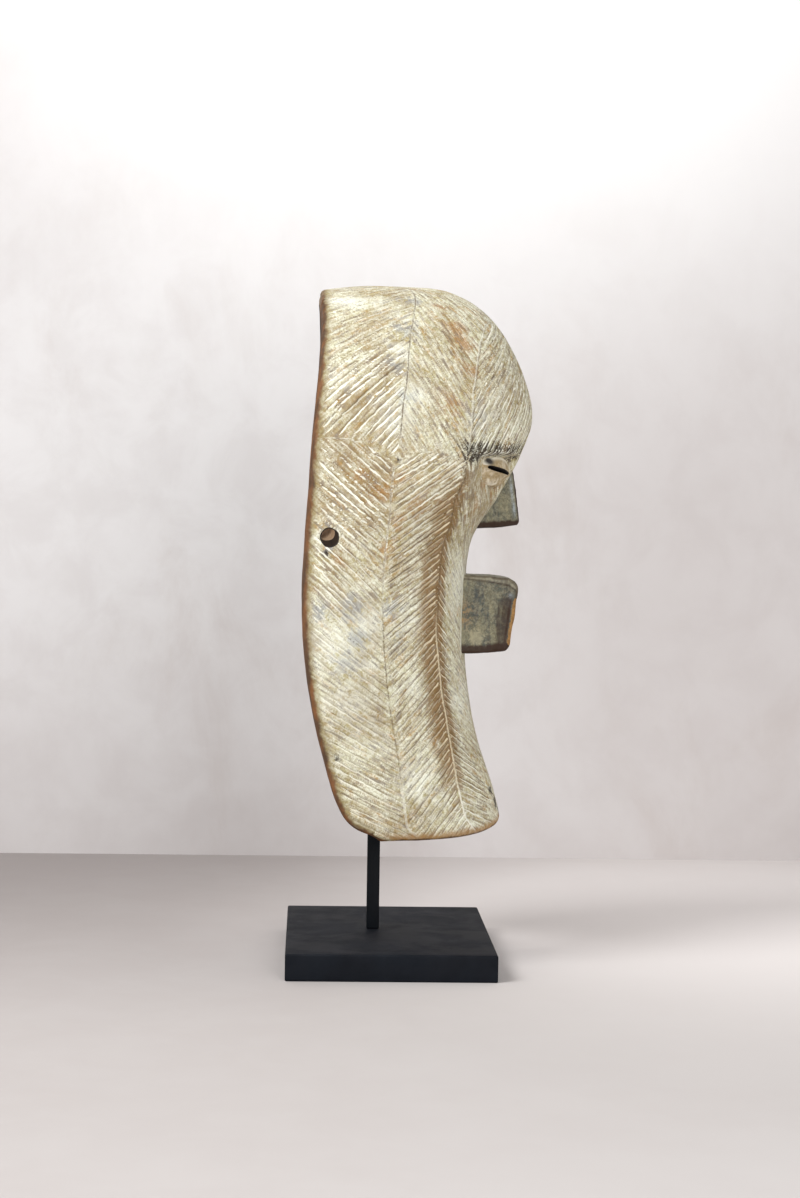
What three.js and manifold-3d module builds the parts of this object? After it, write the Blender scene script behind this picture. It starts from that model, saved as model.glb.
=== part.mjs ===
// A carved wooden mask held upright on a black post and base plate.
// Millimetres, +Z up, the face looks along -Y, origin in the middle of the base's underside.
import * as THREE from 'three';
import { ConvexGeometry } from 'three/addons/geometries/ConvexGeometry.js';
import { mergeVertices } from 'three/addons/utils/BufferGeometryUtils.js';
import Module from 'manifold-3d';

const wasm = await Module();
wasm.setup();

// Stand
const baseDepth = 100;
const baseWidth = 144;
const baseHeight = 12.8;
const baseEdge = 0.9;
const postSide = 6.2;
const postX = 3;
const postY = 7.2;
const seatGap = 0.3;

// Mask wall
const wall = 8;
const frontWall = 10;
const footSag = 3.1; // how far the lower edge hangs between the face's middle and the rim
const rows = 42;
const columns = 32;

// Matching places along the rear rim (half-width, depth, height) and down the middle of the face
// (depth, height), from the open lower edge to the back of the crown.
const stations = [
  { rim: [46, 5, 62.4], face: [-55.2, 69] },
  { rim: [50, 21.4, 71.5], face: [-52.2, 82] },
  { rim: [56.5, 34.8, 108], face: [-42.3, 112] },
  { rim: [63, 41.8, 143], face: [-36.6, 145] },
  { rim: [65.8, 44.3, 175], face: [-36, 178] },
  { rim: [66.5, 43.6, 203], face: [-38.5, 207] },
  { rim: [66, 42.2, 226], face: [-51.6, 229] },
  { rim: [64, 41.1, 246], face: [-62, 249] },
  { rim: [61, 39.8, 264], face: [-67.6, 268] },
  { rim: [55, 38, 287], face: [-61, 293] },
  { rim: [45, 37, 306], face: [-46, 316.5] },
  { rim: [32, 37.3, 318], face: [-27, 328.2] },
  { rim: [20, 37.6, 324.5], face: [-4, 330.8] },
  { rim: [9, 37.9, 327.8], face: [18, 331] },
  { rim: [0, 38, 328.5], face: [38, 328.5] },
];

// Ridge that runs down each cheek
const cheekRidge = { place: 0.47, width: 0.1, height: 1.5, from: 0.08, to: 0.5 };

// Hollow under each brow
const socket = { depth: 7.5, browHeight: 248, foot: 221, inner: 9, outer: 51 };

// Eyes
const eyeX = 24;
const eyeY = -44.4;
const eyeZ = 240.7;
const lidRadii = [16.5, 6.8, 8.2];
const lidBelow = 0.6; // the lid is flatter below the slit
const eyeTurn = 0.5;
const slitSize = [21, 40, 2];
const slitTilt = 0.22;

// Nose
const noseRoot = [0, -57, 244];
const noseTip = [0, -60.8, 216.2];
const noseWing = [16, -38, 214.6];
const noseRound = 1.9;

// Box mouth, as a side outline (depth, height)
const mouthHalfWidth = 22;
const mouthOutline = [
  [-28, 190], [-47, 189.6], [-54.6, 189], [-58.6, 187.2], [-60.8, 184],
  [-60, 178], [-57.2, 156], [-55.4, 153.4], [-48, 152.2], [-28, 151.5],
];
const mouthEdge = 1.2;
const slotSize = [32, 60, 10];
const slotZ = 170;

// Cord holes through the side walls
const holeRadius = 4.25;
const holeNear = [-66, 31.8, 207.5];
const holeFar = [66, 33.4, 209.9];

const rimCurve = new THREE.CatmullRomCurve3(stations.map((s) => new THREE.Vector3(...s.rim)));
const faceCurve = new THREE.CatmullRomCurve3(
  stations.map((s) => new THREE.Vector3(0, ...s.face)));

const { smoothstep, clamp } = THREE.MathUtils;

// How square the U-shaped section is at a row.
function sectionPower(row) {
  return 2.1 + 0.45 * Math.sin(Math.PI * row);
}

// Depth cut away under the brow at a place on the face.
function socketDepth(x, z) {
  const across = smoothstep(x, socket.inner, socket.inner + 10)
    * (1 - smoothstep(x, socket.outer - 13, socket.outer));
  const down = (1 - smoothstep(z, socket.browHeight - 1.5, socket.browHeight + 1.5))
    * smoothstep(z, socket.foot, socket.foot + 16);
  return socket.depth * across * down;
}

// A point of the shell. row runs 0 to 1 from lower edge to crown, turn -1 to 1 round the face,
// and inset 0 is the outside, 1 the inside.
function shellPoint(row, turn, inset) {
  const rim = rimCurve.getPoint(row);
  const face = faceCurve.getPoint(row);
  const rimDirection = rimCurve.getTangent(row);
  const faceDirection = faceCurve.getTangent(row);
  const level = smoothstep(row, 0, 0.08);
  const rimIn = new THREE.Vector3(-rimDirection.z, 0, rimDirection.x * level).normalize();
  const faceIn = new THREE.Vector3(0, faceDirection.z, -faceDirection.y * level).normalize();
  const crown = smoothstep(row, 0.75, 1);
  rim.addScaledVector(rimIn, wall * inset);
  face.addScaledVector(faceIn, THREE.MathUtils.lerp(frontWall, wall, crown) * inset);

  const angle = Math.abs(turn) * Math.PI / 2;
  const power = 2 / sectionPower(row);
  const side = Math.sin(angle) ** power;
  const front = Math.max(Math.cos(angle), 0) ** power;
  const x = Math.max(rim.x, 0) * side;
  const point = new THREE.Vector3(
    x * Math.sign(turn),
    THREE.MathUtils.lerp(rim.y, face.y, front),
    THREE.MathUtils.lerp(rim.z, face.z, front));

  point.z -= footSag * Math.sin(Math.PI * Math.abs(turn)) * (1 - smoothstep(row, 0, 0.14));

  const fromRidge = (Math.abs(turn) - cheekRidge.place) / cheekRidge.width;
  const ridge = cheekRidge.height * Math.exp(-(fromRidge ** 2))
    * smoothstep(row, 0, cheekRidge.from)
    * (1 - smoothstep(row, cheekRidge.to - 0.12, cheekRidge.to));
  point.x += Math.sign(turn) * ridge * side * (1 - inset);
  point.y += socketDepth(x, point.z) - ridge * front * (1 - inset);
  return point;
}

// Rows lie closer together at the brow, where the surface folds.
function rowPlace(index) {
  const even = index / rows;
  const brow = 0.5;
  const pull = 0.62 * Math.exp(-(((even - brow) / 0.16) ** 2));
  return clamp(even - pull * (even - brow), 0, 1);
}

// The closed shell: outer and inner sheets, the rear rim between them and the lower edge.
function shellGeometry() {
  const positions = [];
  const indices = [];
  const across = columns + 1;
  for (const inset of [0, 1]) {
    for (let r = 0; r < rows; r += 1) {
      for (let c = 0; c <= columns; c += 1) {
        positions.push(...shellPoint(rowPlace(r), (2 * c) / columns - 1, inset));
      }
    }
    positions.push(...shellPoint(1, 0, inset));
  }
  const sheet = rows * across + 1;
  const at = (inset, r, c) => inset * sheet + (r === rows ? rows * across : r * across + c);
  const quad = (a, b, c, d) => {
    if (a !== b && b !== c && a !== c) indices.push(a, b, c);
    if (a !== c && c !== d && a !== d) indices.push(a, c, d);
  };
  for (let r = 0; r < rows; r += 1) {
    for (let c = 0; c < columns; c += 1) {
      quad(at(0, r, c), at(0, r, c + 1), at(0, r + 1, c + 1), at(0, r + 1, c));
      quad(at(1, r, c), at(1, r + 1, c), at(1, r + 1, c + 1), at(1, r, c + 1));
    }
    quad(at(0, r, 0), at(0, r + 1, 0), at(1, r + 1, 0), at(1, r, 0));
    quad(at(0, r, columns), at(1, r, columns), at(1, r + 1, columns), at(0, r + 1, columns));
  }
  for (let c = 0; c < columns; c += 1) {
    quad(at(0, 0, c), at(1, 0, c), at(1, 0, c + 1), at(0, 0, c + 1));
  }
  const geometry = new THREE.BufferGeometry();
  geometry.setAttribute('position', new THREE.Float32BufferAttribute(positions, 3));
  geometry.setIndex(indices);
  return geometry;
}

function toSolid(geometry) {
  const bare = geometry.clone();
  bare.deleteAttribute('normal');
  bare.deleteAttribute('uv');
  const merged = mergeVertices(bare, 1e-4);
  return new wasm.Manifold(new wasm.Mesh({
    numProp: 3,
    vertProperties: merged.attributes.position.array,
    triVerts: new Uint32Array(merged.index.array),
  }));
}

function toGeometry(solid) {
  const mesh = solid.getMesh();
  const geometry = new THREE.BufferGeometry();
  geometry.setAttribute('position', new THREE.Float32BufferAttribute(mesh.vertProperties, 3));
  geometry.setIndex(Array.from(mesh.triVerts));
  geometry.computeVertexNormals();
  return geometry;
}

// A wedge with softly rounded edges: root between the brows, tip, and a wing on each cheek.
function noseGeometry() {
  const corners = [
    noseRoot, noseTip, noseWing, [-noseWing[0], noseWing[1], noseWing[2]], [0, noseRoot[1] + 14, noseRoot[2]],
  ];
  const points = [];
  for (const corner of corners) {
    const ball = new THREE.IcosahedronGeometry(noseRound, 1).translate(...corner);
    const places = ball.attributes.position;
    for (let i = 0; i < places.count; i += 1) {
      points.push(new THREE.Vector3().fromBufferAttribute(places, i));
    }
  }
  return new ConvexGeometry(points);
}

// The box mouth: its side outline pushed across the face, with eased edges.
function mouthGeometry() {
  const outline = new THREE.Shape(mouthOutline.map(([y, z]) => new THREE.Vector2(y, z)));
  const length = 2 * (mouthHalfWidth - mouthEdge);
  const box = new THREE.ExtrudeGeometry(outline, {
    depth: length, bevelThickness: mouthEdge, bevelSize: mouthEdge, bevelOffset: -mouthEdge, bevelSegments: 2,
  });
  const axes = new THREE.Matrix4().makeBasis(
    new THREE.Vector3(0, 1, 0), new THREE.Vector3(0, 0, 1), new THREE.Vector3(1, 0, 0));
  return box.translate(0, 0, -length / 2).applyMatrix4(axes);
}

function lidGeometry(side) {
  const lid = new THREE.SphereGeometry(1, 20, 12);
  const places = lid.attributes.position;
  for (let i = 0; i < places.count; i += 1) {
    if (places.getZ(i) < 0) places.setZ(i, places.getZ(i) * lidBelow);
  }
  return lid.scale(...lidRadii)
    .rotateY(-side * slitTilt)
    .rotateZ(side * eyeTurn)
    .translate(side * eyeX, eyeY, eyeZ);
}

function slitGeometry(side) {
  return new THREE.BoxGeometry(...slitSize)
    .rotateY(-side * slitTilt)
    .rotateZ(side * eyeTurn)
    .translate(side * eyeX, eyeY, eyeZ);
}

function holeGeometry([x, y, z]) {
  return new THREE.CylinderGeometry(holeRadius, holeRadius, 3 * wall, 20)
    .rotateZ(Math.PI / 2)
    .translate(x, y, z);
}

function maskGeometry() {
  let hollow = toSolid(shellGeometry());
  let added = toSolid(noseGeometry()).add(toSolid(mouthGeometry()));
  for (const side of [-1, 1]) added = added.add(toSolid(lidGeometry(side)));
  let solid = hollow.add(added);
  for (const side of [-1, 1]) solid = solid.subtract(toSolid(slitGeometry(side)));
  const slot = new THREE.BoxGeometry(...slotSize).translate(0, -40, slotZ);
  solid = solid.subtract(toSolid(slot));
  solid = solid.subtract(toSolid(holeGeometry(holeNear)));
  solid = solid.subtract(toSolid(holeGeometry(holeFar)));
  return toGeometry(solid);
}

// The post reaches up inside the hollow to just under the crown.
function crownUnderside() {
  let lowest = Infinity;
  for (let r = 0.7; r <= 1; r += 0.002) {
    for (let turn = 0; turn <= 0.6; turn += 0.02) {
      const point = shellPoint(r, turn, 1);
      const overPost = Math.abs(point.x) <= postX + postSide && Math.abs(point.y - postY) <= postSide;
      if (overPost) lowest = Math.min(lowest, point.z);
    }
  }
  return lowest;
}

function baseGeometry() {
  const halfDepth = baseDepth / 2 - baseEdge;
  const halfWidth = baseWidth / 2 - baseEdge;
  const plan = new THREE.Shape([
    new THREE.Vector2(-halfWidth, -halfDepth), new THREE.Vector2(halfWidth, -halfDepth),
    new THREE.Vector2(halfWidth, halfDepth), new THREE.Vector2(-halfWidth, halfDepth),
  ]);
  return new THREE.ExtrudeGeometry(plan, {
    depth: baseHeight - 2 * baseEdge, bevelThickness: baseEdge, bevelSize: baseEdge, bevelSegments: 2,
  }).translate(0, 0, baseEdge);
}

const paintedWood = new THREE.MeshStandardMaterial({ color: 0xcdb994, roughness: 0.85, metalness: 0 });
const blackMetal = new THREE.MeshStandardMaterial({ color: 0x15161a, roughness: 0.5, metalness: 0.6 });
const blackPaint = new THREE.MeshStandardMaterial({ color: 0x23262c, roughness: 0.6, metalness: 0 });

const base = new THREE.Mesh(baseGeometry(), blackPaint);
base.name = 'stand_base';

const postFoot = baseHeight + seatGap;
const postTop = crownUnderside() - seatGap;
const post = new THREE.Mesh(new THREE.BoxGeometry(postSide, postSide, postTop - postFoot), blackMetal);
post.name = 'stand_post';
post.position.set(postX, postY, (postTop + postFoot) / 2);

const mask = new THREE.Mesh(maskGeometry(), paintedWood);
mask.name = 'mask';

const part = new THREE.Group();
part.add(base, post, mask);

export default part;
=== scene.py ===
import math

import bmesh
import bpy
import numpy as np
from mathutils import Matrix, Vector, noise
from mathutils.geometry import delaunay_2d_cdt
from mathutils.kdtree import KDTree


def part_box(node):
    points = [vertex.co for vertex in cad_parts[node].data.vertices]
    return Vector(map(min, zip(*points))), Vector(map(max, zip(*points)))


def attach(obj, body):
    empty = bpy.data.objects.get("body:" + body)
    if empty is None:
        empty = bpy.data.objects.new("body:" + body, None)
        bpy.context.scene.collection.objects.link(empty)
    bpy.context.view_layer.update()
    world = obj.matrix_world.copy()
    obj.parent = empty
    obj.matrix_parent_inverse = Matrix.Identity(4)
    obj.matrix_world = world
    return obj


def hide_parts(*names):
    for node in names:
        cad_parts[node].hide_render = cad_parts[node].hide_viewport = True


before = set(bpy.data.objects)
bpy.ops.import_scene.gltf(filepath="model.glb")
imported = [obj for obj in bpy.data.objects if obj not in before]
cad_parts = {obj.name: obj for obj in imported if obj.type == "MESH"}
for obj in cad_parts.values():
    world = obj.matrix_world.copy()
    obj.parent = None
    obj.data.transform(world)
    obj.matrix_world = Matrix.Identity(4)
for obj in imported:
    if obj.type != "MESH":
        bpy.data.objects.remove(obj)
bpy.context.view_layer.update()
mm = 0.001


# view: the photograph's own place and lens, for a picture of 800 x 1198

cameraView = {
    "place": (-1187.42, 40.876, 214.378),
    "yaw": -0.0377402,
    "pitch": -0.0312831,
    "roll": 0.0151417,
    "focal": 2400.0,
    "picture": (800, 1198),
    "sensor": 36,
    "clip": (0.05, 60),
}


def addObject(name, data):
    made = bpy.data.objects.new(name, data)
    bpy.context.scene.collection.objects.link(made)
    return made


def makeCamera(spec):
    yaw, pitch, roll = spec["yaw"], spec["pitch"], spec["roll"]
    ahead = Vector((math.cos(pitch) * math.cos(yaw), math.cos(pitch) * math.sin(yaw), math.sin(pitch)))
    level = Vector((math.sin(yaw), -math.cos(yaw), 0))
    upright = level.cross(ahead)
    right = math.cos(roll) * level + math.sin(roll) * upright
    up = -math.sin(roll) * level + math.cos(roll) * upright
    data = bpy.data.cameras.new("camera")
    data.sensor_fit, data.sensor_height = "VERTICAL", spec["sensor"]
    data.lens = spec["focal"] / spec["picture"][1] * spec["sensor"]
    data.clip_start, data.clip_end = spec["clip"]
    camera = addObject("camera", data)
    turn = Matrix((right, up, -ahead)).transposed().to_4x4()
    camera.matrix_world = Matrix.Translation(Vector(spec["place"]) * mm) @ turn
    bpy.context.scene.camera = camera


makeCamera(cameraView)
print("camera placed")


# small helpers

def smoothStep(x, low, high):
    t = np.clip((np.asarray(x, float) - low) / (high - low), 0.0, 1.0)
    return t * t * (3 - 2 * t)


def window(x, low, full, fade, end):
    return smoothStep(x, low, full) * (1 - smoothStep(x, fade, end))


def bell(x, middle, width, power=2):
    return np.exp(-np.abs((x - middle) / width) ** power)


def unit(v):
    return v / np.maximum(np.linalg.norm(v, axis=-1), 1e-12)[..., None]


def lengthAlong(line):
    return np.concatenate([[0], np.cumsum(np.linalg.norm(np.diff(line, axis=0), axis=1))])


def curveThrough(points, t):
    # a smooth curve through its points, with t running 0 to 1 evenly by index
    p = np.asarray(points, float)
    last = len(p) - 1
    place = np.clip(t, 0, 1) * last
    i = np.minimum(place.astype(int), last - 1)
    w = (place - i)[:, None]
    ends = np.vstack([2 * p[0] - p[1], p, 2 * p[-1] - p[-2]])
    p0, p1, p2, p3 = ends[i], ends[i + 1], ends[i + 2], ends[i + 3]
    d0, d1, d2 = [np.maximum(((a - b) ** 2).sum(1), 1e-12)[:, None] ** 0.25
                  for a, b in ((p0, p1), (p1, p2), (p2, p3))]
    t1 = ((p1 - p0) / d0 - (p2 - p0) / (d0 + d1) + (p2 - p1) / d1) * d1
    t2 = ((p2 - p1) / d1 - (p3 - p1) / (d1 + d2) + (p3 - p2) / d2) * d1
    return p1 + t1 * w + (3 * (p2 - p1) - 2 * t1 - t2) * w ** 2 + (2 * (p1 - p2) + t1 + t2) * w ** 3


def curveWay(points, t):
    step = 1e-4
    ahead, behind = np.clip(t + step, 0, 1), np.clip(t - step, 0, 1)
    return unit(curveThrough(points, ahead) - curveThrough(points, behind))


def meshObject(name, points, faces, attributes):
    # points in millimetres; attributes are point floats or point vectors
    mesh = bpy.data.meshes.new(name)
    mesh.from_pydata((np.asarray(points) * mm).tolist(), [], faces)
    for key, values in attributes.items():
        isVector = np.ndim(values) == 2
        layer = mesh.attributes.new(key, "FLOAT_VECTOR" if isVector else "FLOAT", "POINT")
        layer.data.foreach_set("vector" if isVector else "value", np.asarray(values, np.float32).ravel())
    mesh.update()
    return addObject(name, mesh)


def plainMesh(made):
    # the evaluated result becomes the object's own mesh, and its modifiers go
    graph = bpy.context.evaluated_depsgraph_get()
    graph.update()
    result = made.evaluated_get(graph)
    mesh = bpy.data.meshes.new_from_object(result, preserve_all_data_layers=True, depsgraph=graph)
    made.modifiers.clear()
    made.data = mesh
    return mesh


# mask: the shell's own rule, in (row, turn). row runs 0 to 1 from the lower edge to the crown,
# turn -1 to 1 round the face from rim to rim, inset 0 is outside and 1 inside.

maskShell = {
    # rim half width, depth, height; face depth, height
    "stations": [
        (46, 5, 62.4, -55.2, 69), (50, 21.4, 71.5, -52.2, 82), (56.5, 34.8, 108, -42.3, 112),
        (63, 41.8, 143, -36.6, 145), (65.8, 44.3, 175, -36, 178), (66.5, 43.6, 203, -38.5, 207),
        (66, 42.2, 226, -51.6, 229), (64, 41.1, 246, -62, 249), (61, 39.8, 264, -67.6, 268),
        (55, 38, 287, -61, 293), (45, 37, 306, -46, 316.5), (32, 37.3, 318, -27, 328.2),
        (20, 37.6, 324.5, -4, 330.8), (9, 37.9, 327.8, 18, 331), (0, 38, 328.5, 38, 328.5),
    ],
    "wall": 8,
    "frontWall": 10,
    "footSag": 3.1,      # how far the lower edge hangs between the face's middle and the rim
    "cheekPlace": 0.47,
    "cheekWidth": 0.1,
    "cheekHeight": 1.5,
    "socketDepth": 7.5,
    "browHeight": 248,
    "socketFoot": 221,
    "socketInner": 9,
    "socketOuter": 51,
}
stationList = np.array(maskShell["stations"], float)
rimPoints = stationList[:, :3]
facePoints = np.column_stack([np.zeros(len(stationList)), stationList[:, 3:]])


def shellPoint(row, turn, inset=0.0):
    s = maskShell
    row, turn = np.atleast_1d(row).astype(float), np.atleast_1d(turn).astype(float)
    rim, face = curveThrough(rimPoints, row), curveThrough(facePoints, row)
    rimWay, faceWay = curveWay(rimPoints, row), curveWay(facePoints, row)
    level = smoothStep(row, 0, 0.08)
    rimIn = unit(np.column_stack([-rimWay[:, 2], 0 * row, rimWay[:, 0] * level]))
    faceIn = unit(np.column_stack([0 * row, faceWay[:, 2], -faceWay[:, 1] * level]))
    crown = smoothStep(row, 0.75, 1)
    rim = rim + rimIn * (s["wall"] * inset)
    face = face + faceIn * ((s["frontWall"] * (1 - crown) + s["wall"] * crown) * inset)[:, None]
    angle = np.abs(turn) * math.pi / 2
    power = 2 / (2.1 + 0.45 * np.sin(math.pi * row))
    side = np.sin(angle) ** power
    front = np.maximum(np.cos(angle), 0) ** power
    x = np.maximum(rim[:, 0], 0) * side
    y = rim[:, 1] + (face[:, 1] - rim[:, 1]) * front
    z = rim[:, 2] + (face[:, 2] - rim[:, 2]) * front
    z = z - s["footSag"] * np.sin(math.pi * np.abs(turn)) * (1 - smoothStep(row, 0, 0.14))
    ridge = s["cheekHeight"] * np.exp(-((np.abs(turn) - s["cheekPlace"]) / s["cheekWidth"]) ** 2)
    ridge = ridge * smoothStep(row, 0, 0.08) * (1 - smoothStep(row, 0.38, 0.5)) * (1 - inset)
    across = smoothStep(x, s["socketInner"], s["socketInner"] + 10)
    across = across * (1 - smoothStep(x, s["socketOuter"] - 13, s["socketOuter"]))
    down = 1 - smoothStep(z, s["browHeight"] - 1.5, s["browHeight"] + 1.5)
    down = down * smoothStep(z, s["socketFoot"], s["socketFoot"] + 16)
    return np.column_stack([
        x * np.sign(turn) + np.sign(turn) * ridge * side,
        y + s["socketDepth"] * across * down - ridge * front,
        z,
    ])


# The same wall laid out flat: q is the share of the way from the face's centre line to the rim,
# so that steps along and across the surface can be taken in millimetres.

flatRows, flatShares, fineTurns = 241, 121, 401
crownRow = 0.9995        # the rows close up just past it
rowGrid, shareGrid = np.linspace(0, 1, flatRows), np.linspace(0, 1, flatShares)
fineGrid = np.linspace(0, 1, fineTurns) ** 1.3
turnGrid, halfLength, shareOfTurn = np.zeros((flatRows, flatShares)), np.zeros(flatRows), []
for k, row in enumerate(rowGrid):
    along = lengthAlong(shellPoint(np.full(fineTurns, min(row, crownRow)), fineGrid))
    halfLength[k] = along[-1]
    turnGrid[k] = np.interp(shareGrid * along[-1], along, fineGrid)
    shareOfTurn.append(along / along[-1])
flatPlaces = shellPoint(np.repeat(np.minimum(rowGrid, crownRow), flatShares), turnGrid.ravel())
flatPlaces = flatPlaces.reshape(flatRows, flatShares, 3)
alongRow = np.gradient(flatPlaces, rowGrid, axis=0)
acrossWay = -unit(np.gradient(flatPlaces, shareGrid, axis=1))
sideSlip = (alongRow * acrossWay).sum(2)
rowLength = np.linalg.norm(alongRow - sideSlip[..., None] * acrossWay, axis=2)
meanLength = rowLength.mean(1)
heightOfRow = np.concatenate([[0], np.cumsum((meanLength[1:] + meanLength[:-1]) / 2 * np.diff(rowGrid))])


def halfAt(row):
    return np.interp(row, rowGrid, halfLength)


def rowAt(height):
    return float(np.interp(height, heightOfRow, rowGrid))


def flatPoint(row, share):
    return share * halfAt(row), np.interp(row, rowGrid, heightOfRow)


def flatPoints(entries):
    return np.column_stack(flatPoint(entries[:, 0], entries[:, 1]))


def gridAt(grid, row, share):
    r = np.clip(row, 0, 1) * (flatRows - 1)
    s = np.clip(np.abs(share), 0, 1) * (flatShares - 1)
    i, j = np.minimum(r.astype(int), flatRows - 2), np.minimum(s.astype(int), flatShares - 2)
    a, b = r - i, s - j
    return ((grid[i, j] * (1 - b) + grid[i, j + 1] * b) * (1 - a)
            + (grid[i + 1, j] * (1 - b) + grid[i + 1, j + 1] * b) * a)


def wallPlace(row, share, inset=0.0):
    row, share = np.atleast_1d(row).astype(float), np.atleast_1d(share).astype(float)
    return shellPoint(row, np.sign(share) * gridAt(turnGrid, row, share), inset)


def wallNormal(row, share, inset=0.0):
    step = 0.002
    r = np.clip(np.atleast_1d(row).astype(float), step, 0.9965)
    q = np.clip(np.atleast_1d(share).astype(float), -0.998, 0.998)
    up = wallPlace(r + step, q, inset) - wallPlace(r - step, q, inset)
    out = wallPlace(r, np.minimum(q + step, 1), inset) - wallPlace(r, np.maximum(q - step, -1), inset)
    return unit(np.cross(out, up))


def toShare(row, turn):
    k = int(round(row * (flatRows - 1)))
    return float(np.interp(turn, fineGrid, shareOfTurn[k]))


def shareLine(pairs):
    rows = [r for r, _ in pairs]
    return np.array(rows), np.array([toShare(r, t) for r, t in pairs])


# strokes: the V-cuts that run herringbone from the veins

veins = {
    "crown": [(0.50, 0.80), (0.554, 0.808), (0.585, 0.806), (0.622, 0.788), (0.661, 0.766), (0.691, 0.737),
              (0.736, 0.663), (0.80, 0.511), (0.86, 0.30), (0.90, 0.0)],
    "temple": [(0.487, 0.53), (0.506, 0.543), (0.542, 0.559), (0.568, 0.565), (0.602, 0.553), (0.631, 0.513),
               (0.652, 0.477), (0.674, 0.419), (0.699, 0.299), (0.712, 0.112), (0.72, 0.0)],
    "side": [(0.0, 0.81), (0.047, 0.798), (0.09, 0.756), (0.127, 0.731), (0.156, 0.725), (0.21, 0.727),
             (0.266, 0.735), (0.317, 0.743), (0.356, 0.747), (0.392, 0.764), (0.439, 0.794), (0.48, 0.806)],
    "cheek": [(0.0, 0.43), (0.053, 0.485), (0.081, 0.481), (0.112, 0.461), (0.141, 0.443), (0.168, 0.439),
              (0.188, 0.447), (0.225, 0.451), (0.253, 0.467), (0.30, 0.466), (0.345, 0.463), (0.379, 0.469),
              (0.417, 0.52), (0.455, 0.513), (0.495, 0.545)],
}
# turn and row along the line where the upper and the lower strokes meet
seamLine = [(0.0, 0.50), (0.53, 0.487), (0.675, 0.501), (0.739, 0.503), (0.80, 0.486), (0.886, 0.517),
            (0.916, 0.528), (0.956, 0.531), (1.0, 0.533)]
veinShares = {name: shareLine(pairs) for name, pairs in veins.items()}
seamShares = np.array([toShare(r, t) for t, r in seamLine])
seamRows = np.array([r for _, r in seamLine])


def veinShare(name, row):
    rows, shares = veinShares[name]
    return np.interp(row, rows, shares)


fieldNames = ("rear", "crownFront", "forehead", "side", "middle", "cheek")


def fieldsOf(row, share):
    # which field of strokes a place on the wall belongs to, as a place in fieldNames
    q = np.abs(share)
    upper = row > np.interp(q, seamShares, seamRows)
    lower = np.where(q > veinShare("side", row), 3, np.where(q > veinShare("cheek", row), 4, 5))
    crown = np.where((row < 0.90) & (q < veinShare("crown", row)), 1, 0)
    crown = np.where((row < 0.72) & (q < veinShare("temple", row)), 2, crown)
    return np.where(upper, crown, lower)


# Angles in degrees at rows, measured from the way to the face's centre, upwards positive. Lengths in
# millimetres. The strokes of a field with a reach end there, the others run to the field's border.
# White in the cuts, which also sets the painted highlight on their lit lips, and dirt, which also sets the painted
# shade on their upper lips, are given as (row, amount).
strokeFields = {
    "rear": {"rows": (0.56, 0.60, 0.64, 0.69, 0.76, 0.90), "angles": (46, 42, 38, 27, 16, 0),
             "pitch": 3.0, "width": 1.15, "depth": 0.46, "way": -1,
             "chalkAndHighlight": ((0.54, 1.0), (0.62, 0.95), (0.70, 0.62), (0.9, 0.5)), "dirt": ((0, 0.52),)},
    "crownFront": {"rows": (0.52, 0.59, 0.65, 0.71, 0.80, 0.9), "angles": (-58, -61, -66, -72, -76, -80),
                   "pitch": 2.1, "width": 0.8, "depth": 0.38, "way": 1,
                   "chalkAndHighlight": ((0, 0.4),), "dirt": ((0, 0.5),)},
    "forehead": {"rows": (0.50, 0.53, 0.56, 0.62, 0.66, 0.72), "angles": (63, 60, 54, 44, 37, 30),
                 "pitch": 2.1, "width": 0.85, "depth": 0.42, "way": 1,
                 "chalkAndHighlight": ((0, 0.72),), "dirt": ((0, 0.75),)},
    "side": {"rows": (0.0, 0.10, 0.17, 0.23, 0.29, 0.39, 0.53), "angles": (-30, -32, -33, -38, -46, -43, -43),
             "pitch": 2.9, "width": 1.15, "depth": 0.5, "way": -1,
             "chalkAndHighlight": ((0.0, 0.45), (0.12, 0.5), (0.2, 0.5), (0.34, 0.75), (0.40, 1.2)),
             "dirt": ((0.0, 0.34), (0.15, 0.36), (0.3, 0.42), (0.42, 0.62), (0.5, 0.6))},
    "middle": {"rows": (0.0, 0.07, 0.13, 0.19, 0.25, 0.31, 0.47), "angles": (47, 46, 44, 46, 38, 32, 31.5),
               "pitch": 2.7, "width": 1.0, "depth": 0.42, "way": -1,
               "chalkAndHighlight": ((0.0, 0.42), (0.3, 0.42), (0.38, 0.5), (0.46, 0.8)),
               "dirt": ((0.0, 0.55), (0.1, 0.8), (0.4, 0.75), (0.48, 0.6))},
    "cheek": {"rows": (0.03, 0.14, 0.18, 0.23, 0.30, 0.39, 0.44), "angles": (-28, -31, -28, -33, -40, -55, -78),
              "pitch": 2.75, "width": 0.9, "depth": 0.45, "way": 1, "reach": 14,
              "chalkAndHighlight": ((0.0, 0.75), (0.3, 0.85), (0.4, 0.4), (0.5, 0.3)), "dirt": ((0, 0.8),)},
}

strokeHand = {
    "seed": 11,
    "step": 1.75,        # between points along a stroke
    "angleJitter": 1.1,
    "bendJitter": 0.025,
    "farReach": 200,
    "pitchJitter": 0.12,
    "widthJitter": 0.15,
    "lipJitter": 0.22,
    "wobble": 0.13,
    "depthJitter": 0.22,
    "rimGap": 3.0,
    "lowRow": 0.004,     # no stroke goes past these rows, or closer to the face's middle
    "highRow": 0.985,
    "leastShare": 0.004,
    "crowd": 0.58,       # a stroke stops when it comes this share of the pitch from the next
    "room": 0.86,        # and a new one is cut where this share is free
    "gap": 0.34,         # closest two points may lie
}


def localStep(row, share, inward, upward):
    # millimetres along the surface, turned into a change of row and share
    changeRow = upward / gridAt(rowLength, row, share)
    return changeRow, -(inward - gridAt(sideSlip, row, share) * changeRow) / np.maximum(halfAt(row), 1.0)


def strokeAngle(field, row):
    spec = strokeFields[field]
    return np.radians(np.interp(row, spec["rows"], spec["angles"]))


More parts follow.
